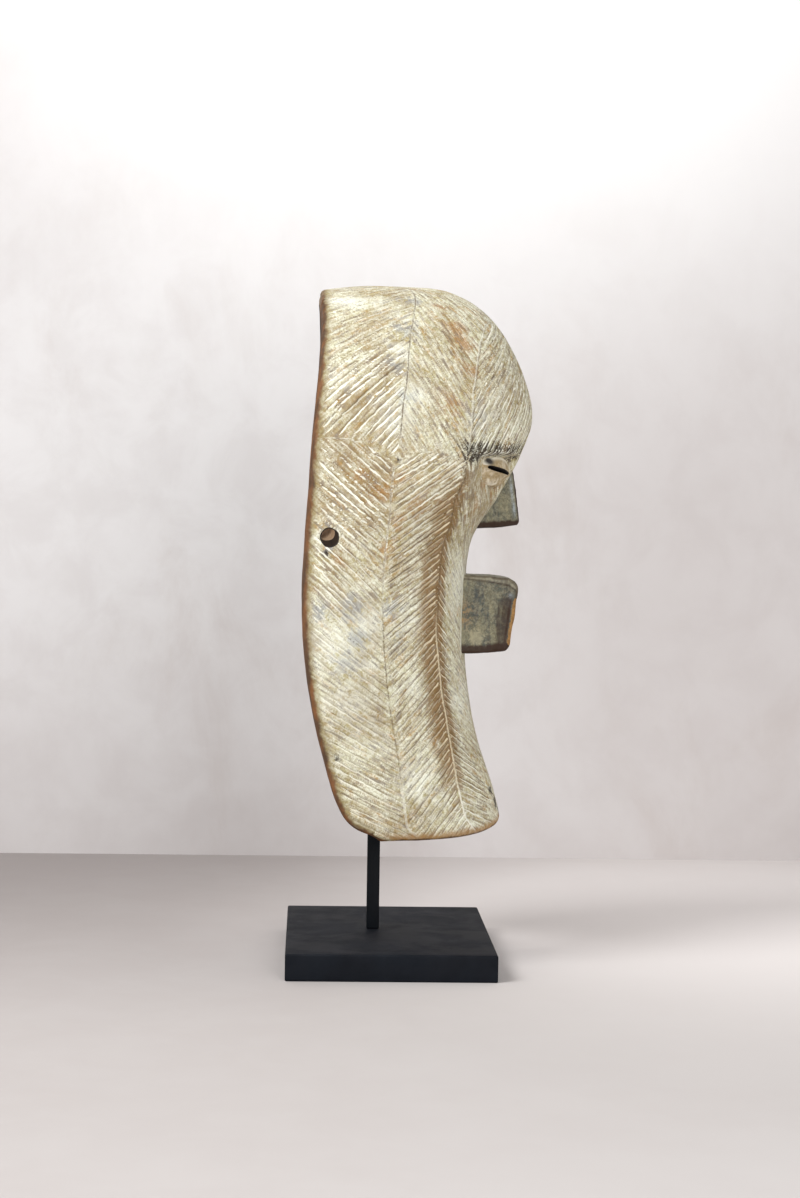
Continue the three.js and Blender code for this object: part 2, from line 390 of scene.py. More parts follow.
def seedLines():
    # for each field, the line that its strokes set out from, as (row, share) points
    def along(name, top, bottom):
        rows = np.linspace(top, bottom, 400)
        return np.column_stack([rows, veinShare(name, rows)])

    def acrossSeam(fromShare, toShareEnd):
        shares = np.linspace(fromShare, toShareEnd, 200)
        return np.column_stack([np.interp(shares, seamShares, seamRows), shares])

    sideTop, cheekTop = veinShare("side", 0.482), veinShare("cheek", 0.49)
    lowerEdge = np.linspace(veinShare("side", 0.0), 1.0, 120)
    return {
        "rear": along("crown", 0.895, 0.545),
        "crownFront": along("crown", 0.895, 0.51),
        "forehead": np.vstack([acrossSeam(0.03, veinShare("temple", 0.5)), along("temple", 0.5, 0.715)]),
        "side": np.vstack([along("side", 0.478, 0.012), np.column_stack([0.012 + 0 * lowerEdge, lowerEdge])]),
        "middle": np.vstack([acrossSeam(sideTop, cheekTop), along("cheek", 0.488, 0.004)]),
        "cheek": along("cheek", 0.485, 0.012),
    }


def between(value, *pairs):
    return float(np.interp(value, [a for a, _ in pairs], [b for _, b in pairs]))


def chalkAmount(field, row, share):
    # how much white still shows in a field's cuts, which also sets how strong the painted highlight on their lit
    # lips is
    amount = between(row, *strokeFields[field]["chalkAndHighlight"])
    if field == "side":
        return amount * between(share, (0.7, 0.65), (0.86, 1.0))
    if field == "middle":
        beside = math.exp(-((share - float(veinShare("cheek", row))) / 0.085) ** 2)
        return max(amount, 0.85 * beside * (row < 0.42))
    return amount


def runStroke(field, row, share, way, reach, start, dice):
    # follows the field's angle from the start until the field, the rim or the reach ends
    points, length = [], 0.0
    lean = dice.normal(0, strokeHand["angleJitter"])
    bend = dice.normal(0, strokeHand["bendJitter"])
    while length < reach:
        angle = float(strokeAngle(field, row)) + math.radians(lean + bend * length)
        inward, upward = math.cos(angle), math.sin(angle)
        move = way * (strokeHand["step"] if points else start)
        changeRow, changeShare = localStep(row, share, inward * move, upward * move)
        row, share = float(row + changeRow), float(share + changeShare)
        if not strokeHand["lowRow"] < row < strokeHand["highRow"] or share < strokeHand["leastShare"]:
            break
        if fieldNames[int(fieldsOf(row, share))] != field:
            break
        if (1 - share) * halfAt(row) < strokeHand["rimGap"] * dice.uniform(0.7, 1.3):
            break
        points.append((row, share, inward, upward))
        length += strokeHand["step"]
    return points


def placesOf(points):
    data = np.array(points)
    return wallPlace(data[:, 0], data[:, 1])


def cellOf(p, size):
    return int(p[0] // size), int(p[1] // size), int(p[2] // size)


def roomAt(cells, size, p):
    # distance to the closest point kept near p
    i, j, k = cellOf(p, size)
    best = size * size
    for u in (i - 1, i, i + 1):
        for v in (j - 1, j, j + 1):
            for w in (k - 1, k, k + 1):
                for q in cells.get((u, v, w), ()):
                    gap = (q[0] - p[0]) ** 2 + (q[1] - p[1]) ** 2 + (q[2] - p[2]) ** 2
                    best = min(best, gap)
    return math.sqrt(best)


def untilCrowded(cells, size, points, free=0):
    if not points:
        return []
    for k, p in enumerate(placesOf(points)):
        if k >= free and roomAt(cells, size, p) < strokeHand["crowd"] * size:
            return points[:k]
    return points


def keepStroke(cells, size, strokes, points):
    for p in placesOf(points):
        cells.setdefault(cellOf(p, size), []).append(tuple(p))
    strokes.append(points)


def layStrokes(field, line, dice):
    # strokes one pitch apart from the vein, then others between them wherever they spread
    spec = strokeFields[field]
    size, cells, strokes = spec["pitch"], {}, []
    advance, wanted = 0.0, size * 0.5
    for (rowA, shareA), (rowB, shareB) in zip(line[:-1], line[1:]):
        angle = float(strokeAngle(field, rowB))
        upStep = (rowB - rowA) * gridAt(rowLength, rowB, shareB)
        inStep = (rowB - rowA) * gridAt(sideSlip, rowB, shareB) - (shareB - shareA) * halfAt(rowB)
        advance += abs(inStep * math.sin(angle) - upStep * math.cos(angle))
        if advance < wanted:
            continue
        advance -= wanted
        wanted = size * dice.normal(1, strokeHand["pitchJitter"])
        reach = spec.get("reach", strokeHand["farReach"]) * dice.uniform(0.8, 1.15)
        if field == "cheek":
            reach *= between(rowB, (0.0, 2.2), (0.12, 2.1), (0.18, 0.95), (0.40, 0.9), (0.44, 1.5), (0.5, 1.3))
        points = runStroke(field, rowB, shareB, spec["way"], reach, dice.uniform(0.25, 0.7), dice)
        points = untilCrowded(cells, size, points, free=2)
        if len(points) > 2:
            keepStroke(cells, size, strokes, points)
    if "reach" in spec:
        return strokes
    for points in strokes:
        data = np.array(points[::2])
        for turn in (-1, 1):
            inward, upward = -data[:, 3] * turn * size, data[:, 2] * turn * size
            changeRow, changeShare = localStep(data[:, 0], data[:, 1], inward, upward)
            rows, shares = data[:, 0] + changeRow, data[:, 1] + changeShare
            sound = (rows > strokeHand["lowRow"]) & (rows < strokeHand["highRow"]) & (shares > 0.01)
            sound &= (1 - shares) * halfAt(rows) > strokeHand["rimGap"]
            sound &= fieldsOf(rows, shares) == fieldNames.index(field)
            rows, shares = rows[sound], shares[sound]
            for row, share, p in zip(rows, shares, wallPlace(rows, shares) if len(rows) else ()):
                if roomAt(cells, size, p) < strokeHand["room"] * size:
                    continue
                back, ahead = [
                    untilCrowded(cells, size, runStroke(field, row, share, way, strokeHand["farReach"], start, dice))
                    for way, start in ((-spec["way"], 0.01), (spec["way"], 1.7))]
                joined = back[::-1] + ahead
                if len(joined) > 3:
                    keepStroke(cells, size, strokes, joined)
    return strokes


# the veins themselves: name, top and bottom row, depth, white, dirt
veinCuts = [
    ("crown", 0.895, 0.53, 0.42, 0.35, 0.95), ("temple", 0.715, 0.495, 0.35, 0.6, 0.8),
    ("side", 0.475, 0.27, 0.3, 0.8, 0.3), ("side", 0.27, 0.10, 0.5, 0.0, 1.0), ("side", 0.10, 0.01, 0.2, 0.1, 0.5),
    ("cheek", 0.48, 0.26, 0.4, 0.1, 0.9), ("cheek", 0.26, 0.012, 0.4, 0.95, 0.2),
]


def carveStrokes(side):
    # every stroke of one half: entries for the middles and for both lips of the cuts, as
    # (row, share, cut, chalkAndHighlight, grimeAndShade, chalkOn, grimeOn, stroke); the lit lip takes white as a
    # painted highlight and the other lip dark grime as painted shade
    dice = np.random.default_rng(strokeHand["seed"] + (0 if side < 0 else 50))
    middles, lips, stroke = [], [], 0
    for field, line in seedLines().items():
        spec = strokeFields[field]
        for points in layStrokes(field, line, dice):
            stroke += side
            width = spec["width"] * dice.normal(1, strokeHand["widthJitter"])
            depth = spec["depth"] * dice.normal(1, strokeHand["depthJitter"])
            white, dirty = dice.uniform(0.7, 1.15), dice.uniform(0.65, 1.1)
            wave, drift = dice.uniform(0, 6.3), dice.uniform(0, 6.3)
            for k, (row, share, inward, upward) in enumerate(points):
                tail = min(1.0, (len(points) - k - 0.3) / 2.4)
                ends = min(1.0, (k + 0.7) / 1.6) * tail
                worn = wearOver(side, row, share)
                cut = depth * ends * (1 - 0.75 * worn) * (1 + 0.15 * math.sin(k * 0.7 + wave))
                sway = 1 + 0.16 * math.sin(k * 0.45 + drift)
                chalkOn = chalkAmount(field, row, share) * white * sway * (1 - 0.55 * worn)
                grimeOn = between(row, *spec["dirt"]) * dirty * (2 - sway) * (1 - 0.5 * worn)
                off = dice.normal(0, strokeHand["wobble"])
                changeRow, changeShare = localStep(row, share, -upward * off, inward * off)
                middles.append((row + changeRow, side * (share + changeShare), cut, 1.35 * tail, 0.95 * tail,
                                chalkOn, grimeOn, stroke))
                for turn in (-1, 1):
                    # the lower lip, turned to the light, is painted white as a highlight over the white left in the
                    # cut, and the upper lip dark as painted shade
                    half = width / 2 * (0.4 + 0.6 * ends) * dice.normal(1, strokeHand["lipJitter"])
                    half = max(half, 0.22) + turn * off
                    across, upAcross = -upward * turn, inward * turn
                    lit = 0.35 * across - 0.94 * upAcross > 0
                    changeRow, changeShare = localStep(row, share, across * half, upAcross * half)
                    lips.append((row + changeRow, side * (share + changeShare), 0.0, 0.82 * tail if lit else 0.0,
                                 0.0 if lit else tail, chalkOn, grimeOn, stroke))
    for name, top, bottom, depth, chalkAndHighlight, grimeAndShade in veinCuts:
        count = int((top - bottom) * 180)
        stroke += side
        for k, row in enumerate(np.linspace(top, bottom, count)):
            share = float(veinShare(name, row)) + 0.0015 * math.sin(k * 0.9 + side)
            if share < 0.005:
                continue
            middles.append((row, side * share, depth, 1.35, 1.0, chalkAndHighlight, grimeAndShade, stroke))
            for turn in (-1, 1):
                changeRow, changeShare = localStep(row, share, turn * 0.5, 0)
                lips.append((row, side * (share + changeShare), 0.0, 0.9 * (turn > 0), 0.75, chalkAndHighlight, grimeAndShade, stroke))
    return middles, lips


wornPlaces = {
    # row, share, size in mm, strength: where handling has nearly smoothed the cuts away
    "near": [(0.515, 0.86, 9, 1.0), (0.21, 0.86, 13, 0.7), (0.27, 0.80, 9, 0.6), (0.84, 0.86, 12, 0.3),
             (0.10, 0.62, 10, 0.55), (0.70, 0.90, 8, 0.4), (0.62, 0.70, 7, 0.4), (0.05, 0.90, 9, 0.4)],
    "far": [(0.52, 0.84, 9, 1.0), (0.30, 0.85, 11, 0.6), (0.75, 0.80, 10, 0.5), (0.12, 0.66, 9, 0.5)],
}
wornSpots = {name: [(*flatPoint(row, share), size, strength) for row, share, size, strength in places]
             for name, places in wornPlaces.items()}


def wearOver(side, row, share):
    s, t = flatPoint(row, share)
    total = 0.22 * (0.5 + 0.5 * noise.noise(Vector((s / 17, t / 17, 3.3 * side))))
    for spotS, spotT, size, strength in wornSpots["near" if side < 0 else "far"]:
        total += strength * math.exp(-((s - spotS) ** 2 + (t - spotT) ** 2) / size ** 2)
    return min(1.0, total)


def thinned(points, kept, gap, cell=1.0):
    # drops every point closer than gap to one already kept; kept is a dictionary of cells
    out = []
    for k, (s, t) in enumerate(points):
        i, j = int(s // cell), int(t // cell)
        if not any((s - a) ** 2 + (t - b) ** 2 < gap * gap
                   for u in (i - 1, i, i + 1) for v in (j - 1, j, j + 1) for a, b in kept.get((u, v), ())):
            kept.setdefault((i, j), []).append((s, t))
            out.append(k)
    return out


wallMesh = {
    # all in millimetres; a gap is the closest that a new point may lie to those before it
    "edgeStep": 1.5,
    "edgeRings": (0.4, 1.0, 1.8),
    "ringGap": 0.3,
    "browGap": 0.55,
    "frontGap": 1.25,
    "groundGap": 1.55,
    "groundFirst": 1.0,
    "groundStep": 1.3,
    "groundSpacing": 1.5,
    "landGaps": (0.3, 0.24),
}


def edgeLoop(step):
    # the shell's free edge, once round: lower edge from rim to rim, up one rim and down the other
    rows = np.linspace(0, 1, 1600)
    along = lengthAlong(wallPlace(rows, np.ones(len(rows))))
    rimRows = np.interp(np.linspace(0, along[-1], int(along[-1] / step)), along, rows)
    lower = [(0.0, share) for share in np.linspace(-1, 1, int(2 * halfLength[0] / step))[:-1]]
    up, down = [(row, 1.0) for row in rimRows[:-1]], [(row, -1.0) for row in rimRows[-2:0:-1]]
    return np.array(lower + up + [(1.0, 0.0)] + down)


def insideLoop(points, loop):
    # even-odd test, one row of the outline at a time
    inside = np.zeros(len(points), bool)
    x, y = points[:, 0], points[:, 1]
    ax, ay = loop[:, 0], loop[:, 1]
    bx, by = np.roll(ax, -1), np.roll(ay, -1)
    for k in range(len(loop)):
        if ay[k] == by[k]:
            continue
        crosses = (ay[k] > y) != (by[k] > y)
        inside ^= crosses & (x < (bx[k] - ax[k]) * (y - ay[k]) / (by[k] - ay[k]) + ax[k])
    return inside


def sheetFaces(loopFlat, inner):
    # Delaunay mesh of the flat outline with the points inside it
    places = [Vector(p) for p in np.vstack([loopFlat, inner])]
    _, _, faces, origins, _, _ = delaunay_2d_cdt(places, [], [list(range(len(loopFlat)))], 1, 1e-5)
    return [[origins[v][0] for v in face] for face in faces]


def groundPoints(first, step, spacing, leastHalf=0.0):
    # staggered rows of places all over the wall
    places = []
    for k, height in enumerate(np.arange(first, heightOfRow[-1], step)):
        row = rowAt(height)
        half = float(halfAt(row))
        if half > leastHalf:
            places += [(row, s / half) for s in np.arange(-half + (k % 2) * spacing / 2, half, spacing)]
    return places


def buildShell():
    # outer wall laid out flat: its outline, then rows as carveStrokes gives them
    w = wallMesh
    loop = edgeLoop(w["edgeStep"])
    loopFlat, cells = flatPoints(loop), {}
    thinned(loopFlat.tolist(), cells, 0.05)
    kept = [np.column_stack([loop, np.zeros((len(loop), 6))])]

    def take(entries, gap):
        data = np.array(entries)
        if data.shape[1] == 2:
            data = np.column_stack([data, np.zeros((len(data), 6))])
        flat = flatPoints(data)
        inside = np.flatnonzero(insideLoop(flat, loopFlat))
        kept.append(data[inside[thinned(flat[inside].tolist(), cells, gap)]])

    def meshed():
        points = np.vstack(kept)
        flat = flatPoints(points)
        return points, sheetFaces(flat[:len(loop)], flat[len(loop):])

    # rings just inside the edge, for its rounding
    for away in w["edgeRings"]:
        ring = []
        for k in range(len(loopFlat)):
            way = loopFlat[(k + 1) % len(loopFlat)] - loopFlat[k - 1]
            inward = np.array([-way[1], way[0]]) / max(np.hypot(*way), 1e-9)
            s, t = loopFlat[k] + inward * away
            row = rowAt(t)
            half = float(halfAt(row))
            if half > 2 and abs(s) < half:
                ring.append((row, s / half))
        take(ring, w["ringGap"])
    nearMiddles, nearLips = carveStrokes(-1)
    farMiddles, farLips = carveStrokes(1)
    take(nearMiddles + farMiddles, strokeHand["gap"])
    take(nearLips + farLips, strokeHand["gap"])
    print("strokes:", len(nearMiddles) + len(farMiddles), "points along their middles")

    # plain ground between, closer where the brow folds over the eyes
    browRows, browShares = np.arange(0.485, 0.512, 0.0024), np.arange(-0.62, 0.62, 0.011)
    take([(row, share) for row in browRows for share in browShares], w["browGap"])
    ground = groundPoints(w["groundFirst"], w["groundStep"], w["groundSpacing"])
    take([p for p in ground if abs(p[1]) < 0.6 and p[0] < 0.5], w["frontGap"])
    take(ground, w["groundGap"])
    # land between neighbouring cuts, wherever a face would run straight from one to the next
    for gap in w["landGaps"]:
        points, faces = meshed()
        corners = np.array([face for face in faces if len(face) == 3])
        edges = np.sort(np.vstack([corners[:, [0, 1]], corners[:, [1, 2]], corners[:, [2, 0]]]), axis=1)
        edges = np.unique(edges, axis=0)
        a, b = points[edges[:, 0]], points[edges[:, 1]]
        crossing = (a[:, 7] != b[:, 7]) & (a[:, 7] != 0) & (b[:, 7] != 0) & (np.maximum(a[:, 2], b[:, 2]) > 0)
        take(((a[crossing, :2] + b[crossing, :2]) / 2).tolist(), gap)
        print("land between cuts:", int(crossing.sum()), "places")
    points, faces = meshed()
    print("outer wall:", len(points), "points,", len(faces), "faces")
    return loop, points, faces


def strokeWays(rows, shares):
    # the way the knife went at each place, as a direction in space
    fields = fieldsOf(rows, np.abs(shares))
    angle = np.zeros(len(rows))
    for k, name in enumerate(fieldNames):
        here = fields == k
        angle[here] = strokeAngle(name, rows[here])
    r, q = np.clip(rows, 0.004, 0.99), np.clip(np.abs(shares), 0.004, 0.99)
    changeRow, changeShare = localStep(r, q, 0.4 * np.cos(angle), 0.4 * np.sin(angle))
    side = np.where(shares < 0, -1, 1)
    return unit(wallPlace(r + changeRow, side * (q + changeShare)) - wallPlace(r, side * q))


shellData = buildShell()


# nodes: an output that sums can be written with, and short ways to add a node or start a group

class nodeValue:
    def __init__(self, tree, socket):
        self.tree, self.socket = tree, socket

    def __add__(self, other):
        return calc("ADD", self, other)

    def __sub__(self, other):
        return calc("SUBTRACT", self, other)

    def __rsub__(self, other):
        return calc("SUBTRACT", other, self)

    def __mul__(self, other):
        return calc("MULTIPLY", self, other)

    def __rtruediv__(self, other):
        return calc("DIVIDE", other, self)

    def span(self, low, high, toLow=0.0, toHigh=1.0):
        given = {"Value": self, "From Min": low, "From Max": high, "To Min": toLow, "To Max": toHigh}
        return addNode(self.tree, "ShaderNodeMapRange", given, interpolation_type="SMOOTHSTEP")


def put(tree, socket, value):
    if isinstance(value, nodeValue):
        tree.links.new(value.socket, socket)
    else:
        socket.default_value = value


def addNode(tree, kind, inputs=(), output=0, **settings):
    node = tree.nodes.new(kind)
    for name, value in settings.items():
        setattr(node, name, value)
    for name, value in dict(inputs).items():
        put(tree, node.inputs[name], value)
    return nodeValue(tree, node.outputs[output])


def calc(operation, *values):
    tree = next(value.tree for value in values if isinstance(value, nodeValue))
    return addNode(tree, "ShaderNodeMath", dict(enumerate(values)), operation=operation)


def vectorNode(operation, first, second):
    second = {"Scale" if operation == "SCALE" else 1: second}
    return addNode(first.tree, "ShaderNodeVectorMath", {0: first, **second}, operation=operation)


def newGroup(name, treeKind, inputs, outputs):
    # each input has its first number or else its kind, each output its kind
    tree = bpy.data.node_groups.new(name, treeKind)
    for label, value in inputs.items():
        kind = value if isinstance(value, str) else "Float"
        socket = tree.interface.new_socket(label, in_out="INPUT", socket_type="NodeSocket" + kind)
        if kind == "Float":
            socket.default_value = value
    for label, kind in outputs.items():
        tree.interface.new_socket(label, in_out="OUTPUT", socket_type="NodeSocket" + kind)
    given = tree.nodes.new("NodeGroupInput").outputs
    return tree, {label: nodeValue(tree, given[label]) for label in inputs}, tree.nodes.new("NodeGroupOutput").inputs


# The carving itself: one tree that lowers the stored cuts, rounds the free edge and adds the knife's unevenness.

def carvingTree():
    tree, given, made = newGroup("carvedWall", "GeometryNodeTree", {
        "Geometry": "Geometry", "Groove Depth": 1.0, "Edge Wear": 1.0, "Hand Wobble": 0.3, "Wobble Size": 12.0,
        "Tool Marks": 0.1, "Seed": 0.0, "Material": "Material"}, {"Geometry": "Geometry"})

    def stored(name, kind="FLOAT"):
        return addNode(tree, "GeometryNodeInputNamedAttribute", {"Name": name}, "Attribute", data_type=kind)

    def wobble(size, shift):
        place = vectorNode("SCALE", addNode(tree, "GeometryNodeInputPosition"), 1000.0 / size)
        given4d = {"Detail": 2, "Vector": place, "Scale": 1.0, "W": given["Seed"] + shift}
        return addNode(tree, "ShaderNodeTexNoise", given4d, noise_dimensions="4D") - 0.5

    lowered = stored("cut") * given["Groove Depth"] + stored("wearAway") * given["Edge Wear"]
    broad = wobble(given["Wobble Size"], 0.0) * given["Hand Wobble"]
    raised = broad + wobble(3.2, 5.0) * given["Tool Marks"] - lowered
    offset = vectorNode("SCALE", stored("outward", "FLOAT_VECTOR"), raised * mm)
    wall = addNode(tree, "GeometryNodeSetPosition", {"Geometry": given["Geometry"], "Offset": offset})
    paint = {"Material": given["Material"]}
    for kind, more in (("SetShadeSmooth", {}), ("RealizeInstances", {}), ("SetMaterial", paint)):
        wall = addNode(tree, "GeometryNode" + kind, {0: wall, **more})
    put(tree, made["Geometry"], wall)
    return tree


def useTree(made, tree, values):
    modifier = made.modifiers.new(tree.name, "NODES")
    modifier.node_group = tree
    for item in tree.interface.items_tree:
        if item.in_out == "INPUT" and item.name in values:
            modifier[item.identifier] = values[item.name]


wallCarving = {
    "Groove Depth": 1.0,
    "Edge Wear": 1.0,
    "Hand Wobble": 0.7,
    "Wobble Size": 15.0,
    "Tool Marks": 0.16,
    "Seed": 4.0,
}
edgeShape = {
    "outerRound": 2.4,
    "innerRound": 1.6,
    "crownOut": 0.5,
    "crownIn": 0.25,
    "rings": (0.14, 0.32, 0.5, 0.68, 0.86),
    "innerSpacing": 3.6,
    "trimInset": 1.1,
    "trimBack": (0, 120, 200),
}


def finePlaces(points, parts=4):
    closed = np.vstack([points, points[:1]])
    return np.vstack([closed[:-1] + (closed[1:] - closed[:-1]) * (k / parts) for k in range(parts)])


def nearTree(points):
    tree = KDTree(len(points))
    for k, p in enumerate(points):
        tree.insert(p, k)
    tree.balance()
    return tree


def rounding(away, radius):
    # how far a surface is worn back at a distance from its edge
    t = np.clip(1 - away / radius, 0, 1)
    return radius * (1 - np.sqrt(np.maximum(1 - t * t, 0)))


def maskWall(data):
    loop, sheet, outerFaces = data
    rows, shares = sheet[:, 0], sheet[:, 1]
    count = len(loop)
    outer, outerNormal = wallPlace(rows, shares), wallNormal(rows, shares)
    edge = outer[:count]
    edgeTree = nearTree(finePlaces(edge))
    away = np.array([edgeTree.find(p)[2] for p in outer])
    wear = rounding(away, edgeShape["outerRound"])

    # inner sheet: same outline, plain ground with adze facets
    spacing = edgeShape["innerSpacing"]
    inner = np.array(groundPoints(spacing * 0.6, spacing * 0.87, spacing, leastHalf=6))
    loopFlat, flat, cells = flatPoints(loop), flatPoints(inner), {}
    inside = np.flatnonzero(insideLoop(flat, loopFlat))
    thinned(loopFlat.tolist(), cells, 0.05, cell=spacing)
    keep = inside[thinned(flat[inside].tolist(), cells, spacing * 0.45, cell=spacing)]
    innerFaces = sheetFaces(loopFlat, flat[keep])
    innerRows, innerShares = np.vstack([loop, inner[keep]]).T
    innerPlaces, innerNormal = wallPlace(innerRows, innerShares, 1.0), -wallNormal(innerRows, innerShares, 1.0)
    innerTree = nearTree(finePlaces(innerPlaces[:count]))
    innerWear = rounding(np.array([innerTree.find(p)[2] for p in innerPlaces]), edgeShape["innerRound"])

    # rim strip between the two edges, a little crowned and worn
    start = edge - outerNormal[:count] * wear[:count, None]
    end = innerPlaces[:count] - innerNormal[:count] * innerWear[:count, None]
    way = unit(np.roll(edge, -1, axis=0) - np.roll(edge, 1, axis=0))
    out = unit(np.cross(end - start, way))
    ringShares = edgeShape["rings"]
    bows = [edgeShape["crownOut"] * math.sin(math.pi * k) - edgeShape["crownIn"] for k in ringShares]
    rings = [start + (end - start) * k + out * bow for k, bow in zip(ringShares, bows)]
    points = np.vstack([outer, *rings, innerPlaces])
    outward = np.vstack([outerNormal] + [out] * len(rings) + [innerNormal])
    total, outerCount = len(points), len(outer)
    innerStart = outerCount + len(rings) * count
    faces = list(outerFaces)
    ringStarts = [0, *range(outerCount, innerStart + 1, count)]
    for a, b in zip(ringStarts[:-1], ringStarts[1:]):
        faces += [[a + k, b + k, b + (k + 1) % count, a + (k + 1) % count] for k in range(count)]
    faces += [[innerStart + v for v in reversed(face)] for face in innerFaces]

    def spread(values, innerValues=0.0, innerFrom=innerStart):
        # outside values first, then nothing on the rim strip, then the inside's
        full = np.zeros(total)
        full[:outerCount] = values
        full[innerFrom:] = innerValues
        return full

    insideMark = spread(0.0, 1.0)
    insideMark[innerStart:innerStart + count] = 0.6      # the inner edge itself, which the rim's paint reaches
    ways = np.tile((0.0, 0.0, 1.0), (total, 1))
    ways[:outerCount] = strokeWays(rows, shares)
    marks = {name: spread(sheet[:, k]) for k, name in enumerate(("cut", "chalkAndHighlight", "grimeAndShade", "chalkOn", "grimeOn"), 2)}
    marks.update({
        "grainWay": ways,
        "wearAway": spread(wear, innerWear),
        "outward": outward,
        "edgeAway": spread(away, 99.0, innerStart + count),
        "insideMark": insideMark,
        "row": np.concatenate([rows] + [loop[:, 0]] * len(rings) + [innerRows]),
        "share": np.concatenate([shares] + [loop[:, 1]] * len(rings) + [innerShares]),
    })
    # the hollow itself, a little smaller, to trim what is joined to the wall from outside
    trimPlaces = np.vstack([wallPlace(innerRows, innerShares, edgeShape["trimInset"]), [edgeShape["trimBack"]]])
    trimFaces = list(innerFaces) + [[k, (k + 1) % count, len(trimPlaces) - 1] for k in range(count)]
    return points, faces, marks, (trimPlaces, trimFaces)


wallPoints, wallFaces, wallMarks, hollowTrim = maskWall(shellData)
maskPiece = meshObject("maskCarved", wallPoints, wallFaces, wallMarks)
useTree(maskPiece, carvingTree(), wallCarving)
plainMesh(maskPiece)
print("wall carved:", len(maskPiece.data.vertices), "points")


# nose, box mouth and lids, joined to the wall; eye slits, mouth slot and cord holes, cut through it

noseShape = {
    "root": (0, -57, 244),
    "tip": (0, -60.8, 216.2),
    "wing": (16, -38, 214.6),
    "back": (0, -50, 244),
    "round": 1.9,
    "voxel": 1.1,
    "uneven": (0.5, 0.12, 3.1),      # broad, fine, seed
}
mouthShape = {
    "halfWidth": 22,
    # depth and height round the side
    "outline": [(-28, 190), (-47, 189.7), (-56.2, 189), (-59.5, 186.9), (-60.9, 184),
                (-60, 178), (-57.2, 156), (-55.4, 153.4), (-48, 152.2), (-28, 151.5)],
    "edge": 1.2,
    "voxel": 1.2,
    "uneven": (0.55, 0.12, 7.7),
    "slot": (32, 60, 10),
    "slotHeight": 170,
    "slotRound": 2.2,
}
eyeShape = {
    "place": (24, -45.5, 241.1),
    "radii": (16, 7.9, 9.3),
    "below": 0.8,        # the lid is flatter and a little shallower below the slit
    "turn": 0.5,
    "tilt": 0.185,
    "slitHalf": 10.2,
    "slitMiddle": (1.8, -0.45),
    "slitOpen": 0.93,
    "slitReach": 40,
    "slitSides": 32,
}
cordHoles = {
    "near": (-66, 31.8, 207.5),
    "far": (66, 33.4, 209.9),
    "radius": 4.15,
    "ease": 0.35,
    "reach": 12,
    "sides": 40,
    "farSlant": (0.62, 0.5),     # how far back and up the far one runs for each millimetre outwards
}


def fromBmesh(name, bm, slotMaterial):
    bmesh.ops.recalc_face_normals(bm, faces=bm.faces)
    mesh = bpy.data.meshes.new(name)
    bm.to_mesh(mesh)
    bm.free()
    mesh.materials.append(slotMaterial)
    return addObject(name, mesh)


def addTube(bm, rings, outwards=False):
    # a closed tube through rings of places in millimetres
    rings = [[bm.verts.new(Vector(p) * mm) for p in ring] for ring in rings]
    bm.faces.new(rings[0])
    bm.faces.new(rings[-1] if outwards else rings[-1][::-1])
    for a, b in zip(rings[:-1], rings[1:]):
        for k in range(len(a)):
            n = (k + 1) % len(a)
            bm.faces.new((a[k], a[n], b[n], b[k]) if outwards else (a[n], a[k], b[k], b[n]))


def bevelled(bm, edges, size, segments):
    bmesh.ops.bevel(bm, geom=edges, offset=size * mm, segments=segments, profile=0.5, affect="EDGES")


def voxelled(made, size):
    remesh = made.modifiers.new("remesh", "REMESH")
    remesh.mode = "VOXEL"
    remesh.voxel_size = size * mm
    finer = made.modifiers.new("finer", "SUBSURF")
    finer.levels = finer.render_levels = 1
    material = made.data.materials[0]
    mesh = plainMesh(made)
    mesh.materials.clear()
    mesh.materials.append(material)
    return made


def handFinish(made, broad, fine, seed):
    # unevenness along the normals, in millimetres
    mesh = made.data
    moved = []
    for v in mesh.vertices:
        p = v.co / mm
        lift = broad * noise.noise(p / 9 + Vector((seed, 0, 0))) + fine * noise.noise(p / 2.2 + Vector((0, seed, 0)))
        moved.extend(v.co + v.normal * lift * mm)
    mesh.vertices.foreach_set("co", moved)
    mesh.update()


def makeNose(spec, material):
    wing = spec["wing"]
    corners = [spec["root"], spec["tip"], wing, (-wing[0], wing[1], wing[2]), spec["back"]]
    bm = bmesh.new()
    for corner in corners:
        place = Matrix.Translation(Vector(corner) * mm)
        bmesh.ops.create_icosphere(bm, subdivisions=3, radius=spec["round"] * mm, matrix=place)
    hull = bmesh.ops.convex_hull(bm, input=bm.verts, use_existing_faces=False)
    spare = [e for e in hull["geom_interior"] + hull["geom_unused"] if isinstance(e, bmesh.types.BMVert)]
    bmesh.ops.delete(bm, geom=spare, context="VERTS")
    made = voxelled(fromBmesh("nose", bm, material), spec["voxel"])
    handFinish(made, *spec["uneven"])
    return made


def makeMouth(spec, material):
    bm = bmesh.new()
    addTube(bm, [[(x, y, z) for y, z in spec["outline"]] for x in (-spec["halfWidth"], spec["halfWidth"])])
    bevelled(bm, bm.edges[:], spec["edge"], 3)
    made = voxelled(fromBmesh("boxMouth", bm, material), spec["voxel"])
    handFinish(made, *spec["uneven"])
    return made


def eyeFrame(spec, side):
    x, y, z = spec["place"]
    turn = Matrix.Rotation(side * spec["turn"], 4, "Z") @ Matrix.Rotation(-side * spec["tilt"], 4, "Y")
    return Matrix.Translation(Vector((side * x, y, z)) * mm) @ turn


def makeLid(spec, side, material):
    bm = bmesh.new()
    bmesh.ops.create_icosphere(bm, subdivisions=5, radius=mm)
    for v in bm.verts:
        low = smoothStep(-v.co.z / mm, 0.0, 0.35)
        v.co.y *= 1 - 0.42 * low
        v.co.z *= spec["below"] if v.co.z < 0 else 1
    shape = Matrix.Diagonal(Vector((*spec["radii"], 1)))
    bmesh.ops.transform(bm, matrix=eyeFrame(spec, side) @ shape, verts=bm.verts)
    made = fromBmesh("lid", bm, material)
    handFinish(made, 0.3, 0.06, 5.0 + side)
    return made


